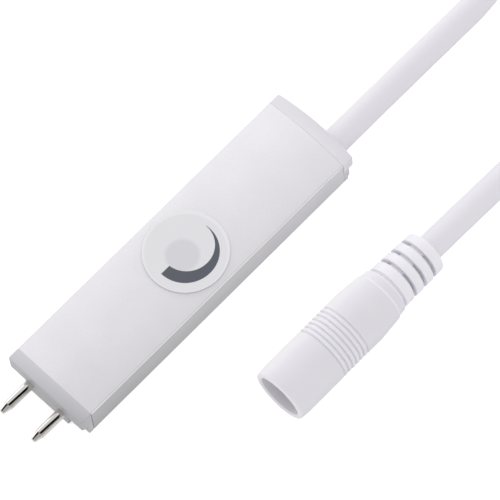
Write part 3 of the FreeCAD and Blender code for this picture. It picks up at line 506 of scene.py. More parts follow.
FINISHES: dict[Slot, Finish] = {
    Slot.HOUSING: AnodisedMetal(
        "satin_anodised_aluminium",
        from_bytes(245, 243, 248),
        roughness=0.48,
        metallic=0.2,
        grain_size=0.3 * MM,
        grain_depth=0.006 * MM,
        tint_spread=0.1,
        roughness_spread=0.12,
        specular=0.3,
        # Painted shade on the sides, a painted edge highlight and a painted shade line
        side=from_bytes(218, 217, 220),
        edge=from_bytes(255, 253, 255),
        painted_shade_line=from_bytes(206, 204, 209),
    ),
    Slot.CAP: HoodedPlasticPaintedShade(
        "light_cap_plastic",
        from_bytes(236, 234, 240),
        tint_spread=0.02,
        # Painted shadow on the upright foot below the hood
        upright=from_bytes(234, 232, 238),
        below=from_bytes(215, 214, 218),
        hood_bottom=4.1 * MM,
    ),
    Slot.PIN_CAP: HoodedPlasticPaintedShade(
        "grey_cap_plastic",
        from_bytes(205, 204, 209),
        roughness=0.42,
        # Painted shade on the upright front, a little painted light below the hood against its shade, and
        # painted light towards +Y
        upright=from_bytes(196, 195, 199),
        below=from_bytes(202, 202, 204),
        painted_light_across=0.13,
        tone_outward=0.05 / MM,
        middle=31.7 * MM,
    ),
    Slot.DISC: MilkyKey(
        "milky_touch_disc",
        from_bytes(236, 235, 239),
        roughness=0.5,
        tint_spread=0.02,
        specular=0.4,
        shade=from_bytes(223, 222, 227),
        # Painted highlight at the rim and painted shade on the upright side
        rim=from_bytes(243, 243, 245),
        side=from_bytes(206, 206, 210),
    ),
    Slot.PRINT: Finish("slate_print_ink", from_bytes(92, 96, 106), roughness=0.5, tint_spread=0.06),
    Slot.PIN: Finish(
        "nickel_plated_pin", from_bytes(228, 225, 220), roughness=0.08, metallic=1.0, grain_depth=0.0005 * MM
    ),
    Slot.CONTACT: Finish(
        "nickel_contact", from_bytes(214, 210, 200), roughness=0.22, metallic=1.0, grain_depth=0.001 * MM
    ),
    Slot.SPRING: Finish("steel_spring_wire", from_bytes(190, 190, 192), roughness=0.3, metallic=1.0),
    Slot.BOARD: Finish("green_solder_mask", from_bytes(24, 92, 48), roughness=0.35, tint_spread=0.1),
    Slot.CHIP: Finish("black_moulded_epoxy", from_bytes(30, 30, 32), roughness=0.55, tint_spread=0.2),
    Slot.CERAMIC: Finish("tan_ceramic", from_bytes(168, 140, 104), roughness=0.5, tint_spread=0.15),
    Slot.LAMP: Finish("clear_lamp_epoxy", from_bytes(238, 236, 220), roughness=0.2, coat=0.5),
    Slot.SHEATH: Finish(
        "white_cord_sheath",
        from_bytes(239, 237, 243),
        roughness=0.5,
        grain_size=0.25 * MM,
        stretch=3.0,
        tint_spread=0.015,
        subsurface=0.15,
    ),
    Slot.RED_WIRE: Finish("red_wire_insulation", from_bytes(186, 36, 30)),
    Slot.BLACK_WIRE: Finish("black_wire_insulation", from_bytes(34, 34, 36)),
    Slot.SOCKET: PlasticPaintedSidelight(
        "white_socket_plastic",
        from_bytes(236, 234, 240),
        roughness=0.5,
        tint_spread=0.015,
        subsurface=0.15,
        # Painted light on the +Y side and the ends
        lit=from_bytes(251, 249, 254),
    ),
    Slot.CORE: Finish("white_core_plastic", from_bytes(216, 215, 214), roughness=0.5),
}


def arc(middle: Vector, radius: float, first: float, last: float, steps: int) -> Profile:
    """Points of an arc about a middle, from its first angle to its last."""
    angles = [first + (last - first) * step / steps for step in range(steps + 1)]
    return [(middle.x + radius * math.cos(a), middle.y + radius * math.sin(a)) for a in angles]


def rounded_outline(corners: Sequence[tuple[float, ...]], steps: int = 8) -> Profile:
    """Round the corners of a closed outline.

    Args:
        corners: Each corner's two coordinates and, where it is a round one, the radius of its arc.
        steps: Segments of each arc.

    Returns:
        The outline's points.
    """
    places = [Vector(corner[:2]) for corner in corners]
    points: Profile = []
    for number, (place, corner) in enumerate(zip(places, corners)):
        if len(corner) == 2:
            points.append((place.x, place.y))
            continue
        radius = corner[2]
        into = (places[number - 1] - place).normalized()
        out = (places[(number + 1) % len(places)] - place).normalized()
        half = math.acos(max(-1.0, min(1.0, into.dot(out)))) / 2
        reach = radius / math.tan(half)
        centre = place + (into + out).normalized() * (radius / math.sin(half))
        first = place + into * reach - centre
        turn = first.angle_signed(place + out * reach - centre)
        angle = math.atan2(first.y, first.x)
        points += arc(centre, radius, angle, angle - turn, steps)
    return points


def linked(name: str, data: bpy.types.ID) -> bpy.types.Object:
    """Make an object and link it to the scene.

    Args:
        name: The object's name.
        data: Its mesh, curve, camera or light.

    Returns:
        The new object.
    """
    made = bpy.data.objects.new(name, data)
    bpy.context.scene.collection.objects.link(made)
    return made


def baked(source: bpy.types.Object, name: str) -> bpy.types.Object:
    """Turn a mesh object with modifiers into a plain one, and remove the source.

    Args:
        source: The object that carries the modifiers.
        name: The new object's name.

    Returns:
        The plain object.
    """
    bpy.context.view_layer.update()
    graph = bpy.context.evaluated_depsgraph_get()
    mesh = bpy.data.meshes.new_from_object(source.evaluated_get(graph))
    mesh.name = name
    # The object that carries a mesh goes with it
    bpy.data.meshes.remove(source.data)
    return linked(name, mesh)


def finished_object(name: str, shape: bmesh.types.BMesh, sharp_angle: float = 38.0) -> bpy.types.Object:
    """Make a mesh object with outward faces, smooth but for its sharp corners.

    Args:
        name: The new object's name.
        shape: Its mesh, which is freed.
        sharp_angle: Edges that bend more than this, in degrees, stay sharp.

    Returns:
        The new object, linked to the scene.
    """
    bmesh.ops.recalc_face_normals(shape, faces=shape.faces)
    mesh = bpy.data.meshes.new(name)
    shape.to_mesh(mesh)
    shape.free()
    mesh.polygons.foreach_set("use_smooth", [True] * len(mesh.polygons))
    mesh.set_sharp_from_angle(angle=math.radians(sharp_angle))
    made = linked(name + "_raw", mesh)
    weighting = made.modifiers.new("wide faces lead", "WEIGHTED_NORMAL")
    weighting.weight = 100
    weighting.keep_sharp = True
    return baked(made, name)


def join_loops(
    shape: bmesh.types.BMesh, here: list[bmesh.types.BMVert], there: list[bmesh.types.BMVert]
) -> None:
    """Join two closed loops of corners by a band of faces."""
    for number in range(len(here)):
        shape.faces.new((here[number - 1], here[number], there[number], there[number - 1]))


def turned_mesh(name: str, profile: Profile, place: Matrix, steps: int = 160) -> bpy.types.Object:
    """Turn a closed outline about the X axis and put the result in its place.

    Args:
        name: The new object's name.
        profile: Points as distance along the axis and radius.
        place: Moves and turns the piece from the X axis to its place.
        steps: Divisions of the full turn.

    Returns:
        The new object, smooth but for its sharp corners.
    """
    shape = bmesh.new()
    rings = []
    for turn in range(steps):
        angle = 2 * math.pi * turn / steps
        ring = [Vector((along, r * math.cos(angle), r * math.sin(angle))) for along, r in profile]
        rings.append([shape.verts.new(place @ point) for point in ring])
    for here, there in zip(rings, rings[1:] + rings[:1]):
        join_loops(shape, here, there)
    bmesh.ops.remove_doubles(shape, verts=shape.verts, dist=0.0001 * MM)
    return finished_object(name, shape)


def near_end(node: str) -> tuple[Vector, float]:
    """The middle of a CAD node's end towards -X, and the node's length."""
    low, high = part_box(node)
    return Vector((low.x, (low.y + high.y) / 2, (low.z + high.z) / 2)), high.x - low.x


def softened_copy(
    node: str,
    name: str,
    width: float,
    softness: Callable[[Vector], float],
    closing: Callable[[Vector], float] = lambda place: 0.0,
) -> bpy.types.Object:
    """Copy a CAD piece's mesh, merge it and round its sharp edges slightly.

    Args:
        node: The CAD node that is copied.
        name: The new object's name.
        width: How wide an edge's round is.
        softness: The share of that width for an edge, from the edge's middle.
        closing: How far a corner moves along X to close a seam, from its place.

    Returns:
        The new object.
    """
    flat_angle, sharp_angle = math.radians(0.5), math.radians(35)
    shape = bmesh.new()
    shape.from_mesh(frame["nodes"][node].data)
    bmesh.ops.remove_doubles(shape, verts=shape.verts, dist=0.001 * MM)
    for corner in shape.verts:
        corner.co.x += closing(corner.co)
    bmesh.ops.dissolve_limit(shape, angle_limit=flat_angle, verts=shape.verts, edges=shape.edges)
    weight = shape.edges.layers.float.new("bevel_weight_edge")
    for edge in shape.edges:
        if edge.calc_face_angle(0.0) > sharp_angle:
            edge[weight] = softness((edge.verts[0].co + edge.verts[1].co) / 2)
    made = finished_object(name + "_base", shape)
    rounding = made.modifiers.new("edge round", "BEVEL")
    rounding.width = width
    rounding.segments = 3
    rounding.limit_method = "WEIGHT"
    rounding.harden_normals = True
    return baked(made, name)


def settle(
    piece: bpy.types.Object, slot: Slot, *nodes: str, finish: Finish | None = None
) -> bpy.types.Object:
    """Dress a piece, let it ride on the switch and say which CAD nodes it stands for.

    Args:
        piece: The finished piece.
        slot: The record's slot that its finish belongs to.
        *nodes: CAD nodes that it replaces.
        finish: The piece's own finish, where it differs from the slot's.

    Returns:
        The same piece.
    """
    piece.data.materials.clear()
    piece.data.materials.append((finish or FINISHES[slot]).material())
    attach(piece, BODY)
    if nodes:
        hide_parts(*nodes)
    LOG.info("piece %s stands for %s", piece.name, ", ".join(nodes) or "nothing else")
    return piece


@dataclass(frozen=True)
class PhotoCamera:
    """The photograph's camera: where it stands, how it is turned and how long its lens is."""

    azimuth: float = -39.6
    elevation: float = 68.01
    roll: float = -7.09
    distance: float = 819.1 * MM
    aim_right: float = 11.25 * MM
    aim_up: float = 3.68 * MM
    lens_in_frames: float = 9.6446
    sensor: float = 36.0

    def place(self) -> None:
        """Make the camera and set it as the scene's."""
        azimuth = Matrix.Rotation(math.radians(self.azimuth), 4, "Z")
        tilt = Matrix.Rotation(math.radians(90 - self.elevation), 4, "X")
        roll = Matrix.Rotation(math.radians(self.roll), 4, "Z")
        away = Matrix.Translation((self.aim_right, self.aim_up, self.distance))
        data = bpy.data.cameras.new("photo_camera")
        data.sensor_width = self.sensor
        data.lens = self.sensor * self.lens_in_frames
        data.clip_start = 50 * MM
        data.clip_end = 20_000 * MM
        camera = linked("photo_camera", data)
        camera.matrix_world = azimuth @ tilt @ roll @ away
        bpy.context.scene.camera = camera


@dataclass(frozen=True)
class Studio:
    """White surface, a soft lamp and the surroundings that glossy pieces mirror."""

    floor_reach: float = 6.0
    floor_drop: float = 0.05 * MM
    floor_colour: Colour = (0.9, 0.9, 0.9)
    floor_glow: float = 0.55
    mirrored_glow: float = 0.1
    ambient: float = 1.06
    ambient_lean: float = 0.12
    lamp_power: float = 5.0
    lamp_size: tuple[float, float] = (2.4, 0.65)
    lamp_place: tuple[float, float, float] = (0.3, 1.3, 0.3)
    band_normal: tuple[float, float, float] = (0.891, 0.447, 0.08)
    band_middle: float = 0.03
    band_half: float = 0.185
    band_blur: float = 0.03
    shaded_side: float = 0.6

    def build(self) -> None:
        """Make the floor, the world and the lamp."""
        self.floor()
        self.world()
        self.lamp()

    def floor(self) -> None:
        """Make the white surface that the object lies on."""
        reach = self.floor_reach
        shape = bmesh.new()
        corners = ((-reach, -reach), (reach, -reach), (reach, reach), (-reach, reach))
        shape.faces.new([shape.verts.new((x, y, -self.floor_drop)) for x, y in corners])
        floor = finished_object("studio_floor", shape)
        material = bpy.data.materials.new("studio_white")
        material.use_nodes = True
        material.node_tree.nodes.clear()
        graph = Graph(material.node_tree)
        diffuse = graph.out("ShaderNodeBsdfDiffuse", {"Color": self.floor_colour})
        glow = graph.out("ShaderNodeEmission", {"Strength": self.seen(graph)})
        both = graph.out("ShaderNodeAddShader", {0: diffuse, 1: glow})
        graph.add("ShaderNodeOutputMaterial", {"Surface": both})
        floor.data.materials.append(material)

    def seen(self, graph: Graph) -> Socket:
        """How much the floor glows: for camera and transmission rays, less for glossy rays, else not.

        Args:
            graph: The floor's tree.

        Returns:
            The glow.
        """
        path = graph.add("ShaderNodeLightPath").outputs
        direct = graph.maths("MAXIMUM", path["Is Camera Ray"], path["Is Transmission Ray"])
        shown = graph.maths("MULTIPLY", direct, self.floor_glow)
        mirrored = graph.maths("MULTIPLY", path["Is Glossy Ray"], self.mirrored_glow)
        return graph.maths("MAXIMUM", shown, mirrored)

    def world(self) -> None:
        """Light softly, less from -X, show white, and give glossy pieces a dark band to mirror."""
        world = bpy.data.worlds.new("studio_world")
        bpy.context.scene.world = world
        world.use_nodes = True
        world.node_tree.nodes.clear()
        graph = Graph(world.node_tree)
        path = graph.add("ShaderNodeLightPath").outputs
        levels = {"Factor": path["Is Glossy Ray"], "A": self.soft_light(graph), "B": self.banded_light(graph)}
        lit = graph.out("ShaderNodeMix", levels, data_type="FLOAT")
        direct = graph.maths("MAXIMUM", path["Is Camera Ray"], path["Is Transmission Ray"])
        shown = graph.out("ShaderNodeMix", {"Factor": direct, "A": lit, "B": 1.0}, data_type="FLOAT")
        glow = graph.out("ShaderNodeBackground", {"Strength": shown})
        graph.add("ShaderNodeOutputWorld", {"Surface": glow})

    def soft_light(self, graph: Graph) -> Socket:
        """The surroundings' brightness, more from +X than from -X."""
        lean = self.ambient * self.ambient_lean
        return graph.maths("MULTIPLY_ADD", graph.split("Generated")["X"], lean, self.ambient)

    def banded_light(self, graph: Graph) -> Socket:
        """The brightness that glossy pieces mirror, with a dark upright band and less light beyond it.

        Args:
            graph: The world's tree.

        Returns:
            The brightness.
        """
        inputs = {0: graph.reading("Generated"), 1: self.band_normal}
        aside = graph.add("ShaderNodeVectorMath", inputs, operation="DOT_PRODUCT").outputs["Value"]
        sides = []
        for sign, brightness in ((1, 1.0), (-1, self.shaded_side)):
            limit = self.band_middle + sign * self.band_half
            blur = sign * self.band_blur
            sides.append(graph.share(aside, (limit - blur, limit + blur), brightness))
        return graph.maths("MAXIMUM", *sides)

    def lamp(self) -> None:
        """Make the oblong lamp that faces the object."""
        data = bpy.data.lights.new("key_lamp", "AREA")
        data.shape = "RECTANGLE"
        data.size, data.size_y = self.lamp_size
        data.energy = self.lamp_power
        lamp = linked("key_lamp", data)
        lamp.location = self.lamp_place
        lamp.rotation_mode = "QUATERNION"
        lamp.rotation_quaternion = Vector(self.lamp_place).to_track_quat("Z", "Y")


@dataclass(frozen=True)
class PowerLead:
    """The round lead between the housing and its connector."""

    diameter: float = 4.9 * MM
    length: float = 248.2 * MM
    exit: tuple[float, float, float] = (33.44 * MM, -3.5 * MM, 3.5 * MM)

    def route(self) -> list[tuple[float, float, float]]:
        """The route's points, from the housing's cap to the connector's strain relief.

        Returns:
            Places in metres.
        """
        loop = [(80.0, -3.5), (99.9, 12.1), (121.3, 10.3), (135.9, -5.5), (135.9, -27.0)]
        loop += [(121.3, -42.8), (99.9, -44.6), (80.0, -29.0), (57.0, -29.0)]
        leave = [self.exit, (52.04 * MM, -3.5 * MM, 3.5 * MM)]
        arrive = [(39.4 * MM, -29.0 * MM, 4.16 * MM), (29.44 * MM, -29.0 * MM, 4.77 * MM)]
        return leave + [(x * MM, y * MM, self.diameter / 2) for x, y in loop] + arrive

    def build(self) -> bpy.types.Object:
        """Make the lead as one smooth line with a round section.

        Returns:
            The lead's curve object.
        """
        curve = bpy.data.curves.new("power_lead", "CURVE")
        curve.dimensions = "3D"
        curve.bevel_depth = self.diameter / 2
        curve.bevel_resolution = 12
        curve.resolution_u = 24
        curve.use_fill_caps = True
        route = self.route()
        spline = curve.splines.new("NURBS")
        spline.points.add(len(route) - 1)
        for point, place in zip(spline.points, route):
            point.co = (*place, 1)
        spline.order_u = 3
        spline.use_endpoint_u = True
        return settle(linked("power_lead", curve), Slot.SHEATH, "power_cord")


class Hoop(Enum):
    """What a row repeats: whole rings, or two short pieces of a ring, on top and below."""

    RING = "ring"
    WEBS = "webs"


def hoop_curve(graph: Graph, kind: Hoop, radius: Socket, sweep: Socket) -> Socket:
    """Add the curve that a ring's or a web's section follows, in the XY plane.

    Args:
        graph: The geometry tree.
        kind: Whole rings or webs.
        radius: The curve's radius.
        sweep: How far round each web goes.

    Returns:
        The curve.
    """
    if kind is Hoop.RING:
        return graph.out("GeometryNodeCurvePrimitiveCircle", {"Resolution": RING_POINTS, "Radius": radius})
    both = graph.add("GeometryNodeJoinGeometry")
    half = graph.maths("MULTIPLY", sweep, 0.5)
    for middle in (0.0, math.pi):
        start = graph.maths("SUBTRACT", middle, half)
        inputs = {"Resolution": WEB_POINTS, "Radius": radius, "Start Angle": start, "Sweep Angle": sweep}
        graph.feed(both.inputs[0], graph.out("GeometryNodeCurveArc", inputs, mode="RADIUS"))
    return both.outputs[0]


def row_tree(kind: Hoop) -> bpy.types.GeometryNodeTree:
    """Build, once, the tree that lays rings or webs with rounded edges along X, one pitch apart.

    Args:
        kind: Whole rings or webs.

    Returns:
        The geometry tree, with the row's sizes as its inputs.
    """
    name = kind.value + "_row"
    known = bpy.data.node_groups.get(name)
    if known:
        return known
    sizes = ("First", "Pitch", "Width", "Radius", "Thickness", "Edge Round", "Shrink", "Sweep")
    tree = bpy.data.node_groups.new(name, "GeometryNodeTree")
    tree.interface.new_socket("Geometry", in_out="OUTPUT", socket_type="NodeSocketGeometry")
    tree.interface.new_socket("Count", in_out="INPUT", socket_type="NodeSocketInt")
    for size in sizes:
        tree.interface.new_socket(size, in_out="INPUT", socket_type="NodeSocketFloat")
    tree.interface.new_socket("Material", in_out="INPUT", socket_type="NodeSocketMaterial")
    graph = Graph(tree)
    given = graph.add("NodeGroupInput").outputs
    start = graph.out("ShaderNodeCombineXYZ", {"X": given["First"]})
    step = graph.out("ShaderNodeCombineXYZ", {"X": given["Pitch"]})
    inputs = {"Count": given["Count"], "Start Location": start, "Offset": step}
    places = graph.out("GeometryNodeMeshLine", inputs, mode="OFFSET")
    inputs = {"Width": given["Thickness"], "Height": given["Width"]}
    section = graph.out("GeometryNodeCurvePrimitiveQuadrilateral", inputs)
    inputs = {"Curve": section, "Radius": given["Edge Round"], "Count": CORNER_POINTS, "Limit Radius": True}
    rounded = graph.out("GeometryNodeFilletCurve", inputs, mode="POLY")
    middle = graph.maths("MULTIPLY_ADD", given["Thickness"], -0.5, given["Radius"])
    hoop = hoop_curve(graph, kind, middle, given["Sweep"])
    inputs = {"Curve": hoop, "Profile Curve": rounded, "Fill Caps": True}
    swept = graph.out("GeometryNodeCurveToMesh", inputs)
    upright = graph.out("GeometryNodeTransform", {"Geometry": swept, "Rotation": (0, math.pi / 2, 0)})
    shrunk = graph.maths("MULTIPLY", graph.out("GeometryNodeInputIndex"), given["Shrink"])
    share = graph.maths("SUBTRACT", 1.0, shrunk)
    scale = graph.out("ShaderNodeCombineXYZ", {"X": 1.0, "Y": share, "Z": share})
    inputs = {"Points": places, "Instance": upright, "Scale": scale}
    copies = graph.out("GeometryNodeInstanceOnPoints", inputs)
    real = graph.out("GeometryNodeRealizeInstances", {0: copies})
    dressed = graph.out("GeometryNodeSetMaterial", {"Geometry": real, "Material": given["Material"]})
    graph.add("NodeGroupOutput", {"Geometry": dressed})
    return tree


@dataclass(frozen=True)
class Row:
    """A row of like rings or webs along X."""

    name: str
    kind: Hoop
    count: int
    first: float
    pitch: float
    width: float
    radius: float
    thickness: float
    edge_round: float
    shrink: float = 0.0
    sweep: float = 0.0

    def build(self, material: bpy.types.Material, place: Matrix) -> bpy.types.Object:
        """Make the row as one plain mesh.

        Args:
            material: The row's material.
            place: Moves the row, made about the X axis, to its place.

        Returns:
            The row's object.
        """
        tree = row_tree(self.kind)
        carrier = linked(self.name + "_base", bpy.data.meshes.new(self.name + "_base"))
        modifier = carrier.modifiers.new("row", "NODES")
        modifier.node_group = tree
        for item in tree.interface.items_tree:
            if item.in_out == "INPUT":
                value = material if item.name == "Material" else field_of(self, item.name)
                modifier[item.identifier] = value
        row = baked(carrier, self.name + "_row")
        shape = bmesh.new()
        shape.from_mesh(row.data)
        shape.transform(place)
        bpy.data.objects.remove(row)
        return finished_object(self.name, shape)


@dataclass(frozen=True)
class SocketConnector:
    """White connector with a round open mouth, gripping ribs and a ringed strain relief."""

    rim_radius: float = 5.17 * MM
    rim_round: float = 0.4 * MM
    bore_radius: float = 4.15 * MM
    flare: float = 2.0 * MM
    flare_round: float = 9.0 * MM
    grip_start: float = 10.5 * MM
    grip_pitch: float = 0.95 * MM
    groove_count: int = 7
    groove_width: float = 0.36 * MM
    groove_depth: float = 0.4 * MM
    rib_round: float = 0.16 * MM
    seat_round: float = 0.08 * MM
    seat_slant: float = 0.06 * MM
    taper_start: float = 20.0 * MM
    taper_round: float = 8.0 * MM
    collar_length: float = 2.0 * MM
    collar_step: float = 0.35 * MM
    collar_round: float = 0.12 * MM
    shoulder_radius: float = 4.95 * MM
    shoulder_round: float = 0.3 * MM
    collar_radius: float = 4.72 * MM
    rear_radius: float = 4.55 * MM
    rear_round: float = 0.45 * MM
    rear_bore_radius: float = 3.45 * MM
    bore_length: float = 18.4 * MM
    relief_gap: float = 0.3 * MM

    def build(self) -> list[bpy.types.Object | str]:
        """Make the connector's visible pieces.

        Returns:
            The pieces and CAD nodes that are on the lead.
        """
        mouth, length = near_end("socket_overmould")
        radius = mouth.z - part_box("socket_overmould")[0].z
        place = Matrix.Translation(mouth)
        body = turned_mesh("socket_body", self.outline(length, radius), place)
        settle(body, Slot.SOCKET, "socket_overmould")
        # The ribs are painted lighter than the body: painted light that leaves the grooves between them
        # darker
        painted_light_ribs = replace(FINISHES[Slot.SOCKET], name="light_rib_plastic", colour=from_bytes(243, 241, 247))
        ribs = self.rib_row(radius).build(painted_light_ribs.material(), place)
        settle(ribs, Slot.SOCKET, finish=painted_light_ribs)
        relief = StrainRelief(start=mouth + Vector((length + self.relief_gap, 0, 0))).build()
        inner = ["socket_insulator", "sleeve_contact", "leaf_contact", "centre_pin", "cord_tail"]
        wires = ["socket_supply_wire", "socket_return_wire"]
        return [body, ribs, *relief, *inner, *wires]

    def outline(self, length: float, radius: float) -> Profile:
        """Outline of the body, with a shallow seat for the ribs.

        Args:
            length: The body's length.
            radius: Its largest radius.

        Returns:
            Points as distance from the mouth and radius.
        """
        seat_start = self.grip_start - self.groove_width / 2
        seat_end = seat_start + self.grip_pitch * (self.groove_count - 1) + self.groove_width
        seat_radius = radius - self.groove_depth
        shoulder = length - self.collar_length
        corners = [
            (0.0, self.bore_radius, self.rim_round),
            (0.0, self.rim_radius, self.rim_round),
            (self.flare, radius, self.flare_round),
            (seat_start, radius, self.seat_round),
            (seat_start + self.seat_slant, seat_radius),
            (seat_end - self.seat_slant, seat_radius),
            (seat_end, radius, self.seat_round),
            (self.taper_start, radius, self.taper_round),
            (shoulder, self.shoulder_radius, self.shoulder_round),
            (shoulder + self.collar_step, self.collar_radius, self.collar_round),
            (length, self.rear_radius, self.rear_round),
            (length, self.rear_bore_radius),
            (self.bore_length, self.rear_bore_radius),
            (self.bore_length, self.bore_radius),
        ]
        return rounded_outline(corners)

    def rib_row(self, radius: float) -> Row:
        """The gripping ribs between the grooves.

        Args:
            radius: The body's largest radius.

        Returns:
            The row of ribs.
        """
        return Row(
            name="grip_ribs",
            kind=Hoop.RING,
            count=self.groove_count - 1,
            first=self.grip_start + self.grip_pitch / 2,
            pitch=self.grip_pitch,
            width=self.grip_pitch - self.groove_width,
            radius=radius,
            thickness=self.groove_depth * 2,
            edge_round=self.rib_round,
        )


@dataclass(frozen=True)
class StrainRelief:
    """Tapered sleeve of four rings that low webs join on top and below, tilted down to the floor."""

    start: Vector
    droop: float = 3.5
    front_radius: float = 4.3 * MM
    rear_radius: float = 4.1 * MM
    neck_radius: float = 3.8 * MM
    neck_length: float = 0.05 * MM
    neck_overlap: float = 0.45 * MM
    core_radius: float = 3.0 * MM
    bore_radius: float = 2.5 * MM
    bore_round: float = 0.1 * MM
    stem_radius: float = 3.25 * MM
    stem_length: float = 2.0 * MM
    slot_count: int = 3
    ring_width: float = 1.68 * MM
    slot_width: float = 0.74 * MM
    sink: float = 0.05 * MM
    first_ring_extra: float = 0.25 * MM
    last_ring_extra: float = 0.3 * MM
    web_width: float = 3.1 * MM
    web_recess: float = 0.7 * MM
    web_round: float = 0.02 * MM
    web_turn: float = -7.0
    edge_round: float = 0.1 * MM
    tail_round: float = 0.45 * MM

    @property
    def pitch(self) -> float:
        """From one ring to the next."""
        return self.ring_width + self.slot_width

    @property
    def first_slot(self) -> float:
        """From the neck's front to the first slot."""
        return self.neck_length + self.first_ring_extra + self.ring_width

    @property
    def last_ring(self) -> float:
        """From the neck's front to the last ring."""
        return self.first_slot + self.slot_width + (self.slot_count - 1) * self.pitch

    @property
    def length(self) -> float:
        """From the neck's front to the tail's end."""
        return self.last_ring + self.ring_width + self.last_ring_extra

    def finish(self) -> Finish:
        """The connector's plastic, with painted shade that darkens it down in the slots.

        Returns:
            The sleeve's finish.
        """
        like = FINISHES[Slot.SOCKET]
        return ReliefWithPaintedShade(
            "soft_relief_plastic",
            # Lighter than the connector on the rings, with painted shade down in the slots
            from_bytes(249, 247, 254),
            roughness=like.roughness,
            grain_size=like.grain_size,
            tint_spread=like.tint_spread,
            subsurface=like.subsurface,
            start=tuple(self.start),
            droop=self.droop,
            painted_slot_shade=from_bytes(224, 223, 227),
            deep_radius=self.core_radius,
        )

    def build(self) -> list[bpy.types.Object]:
        """Make the sleeve, its rings and its webs.

        Returns:
            The three pieces.
        """
        place = Matrix.Translation(self.start) @ Matrix.Rotation(math.radians(self.droop), 4, "Y")
        web_place = place @ Matrix.Rotation(math.radians(self.web_turn), 4, "X")
        finish = self.finish()
        material = finish.material()
        sleeve = turned_mesh("relief_sleeve", self.outline(), place)
        settle(sleeve, Slot.SOCKET, "strain_relief", finish=finish)
        rows = [self.ring_row().build(material, place), self.web_row().build(material, web_place)]
        return [sleeve, *(settle(row, Slot.SOCKET, finish=finish) for row in rows)]

    def ring_row(self) -> Row:
        """The rings between the first and the last, each a little smaller than the one before.

        Returns:
            The row of rings.
        """
        shrink = (1 - self.rear_radius / self.front_radius) * self.pitch / self.length
        radius = self.front_radius * (1 - shrink)
        return Row(
            name="relief_rings",
            kind=Hoop.RING,
            count=self.slot_count - 1,
            first=self.first_slot + self.pitch - self.ring_width / 2,
            pitch=self.pitch,
            width=self.ring_width,
            radius=radius,
            thickness=radius - self.core_radius + self.sink,
            edge_round=self.edge_round,
            shrink=shrink,
        )

    def web_row(self) -> Row:
        """The low webs that join the rings across the slots.

        Returns:
            The row of webs.
        """
        radius = self.rear_radius - self.web_recess
        return Row(
            name="relief_webs",
            kind=Hoop.WEBS,
            count=self.slot_count,
            first=self.first_slot + self.slot_width / 2,
            pitch=self.pitch,
            width=self.slot_width + 2 * self.edge_round,
            radius=radius,
            thickness=radius - self.core_radius + self.sink,
            edge_round=self.web_round,
            sweep=self.web_width / radius,
        )

    def outline(self) -> Profile:
        """Outline of the sleeve with its neck, its first ring and its last ring.

        Returns:
            Points as distance from the neck's front and radius.
        """
        corners = [
            (-self.stem_length, self.bore_radius),
            (-self.stem_length, self.stem_radius),
            (-self.neck_overlap, self.stem_radius),
            (-self.neck_overlap, self.neck_radius),
            (self.neck_length, self.neck_radius),
            (self.neck_length, self.front_radius, self.edge_round),
            (self.first_slot, self.front_radius, self.edge_round),
            (self.first_slot, self.core_radius),
            (self.last_ring, self.core_radius),
            (self.last_ring, self.rear_radius, self.edge_round),
            (self.length, self.rear_radius, self.tail_round),
            (self.length, self.bore_radius, self.bore_round),
        ]
        return rounded_outline(corners)


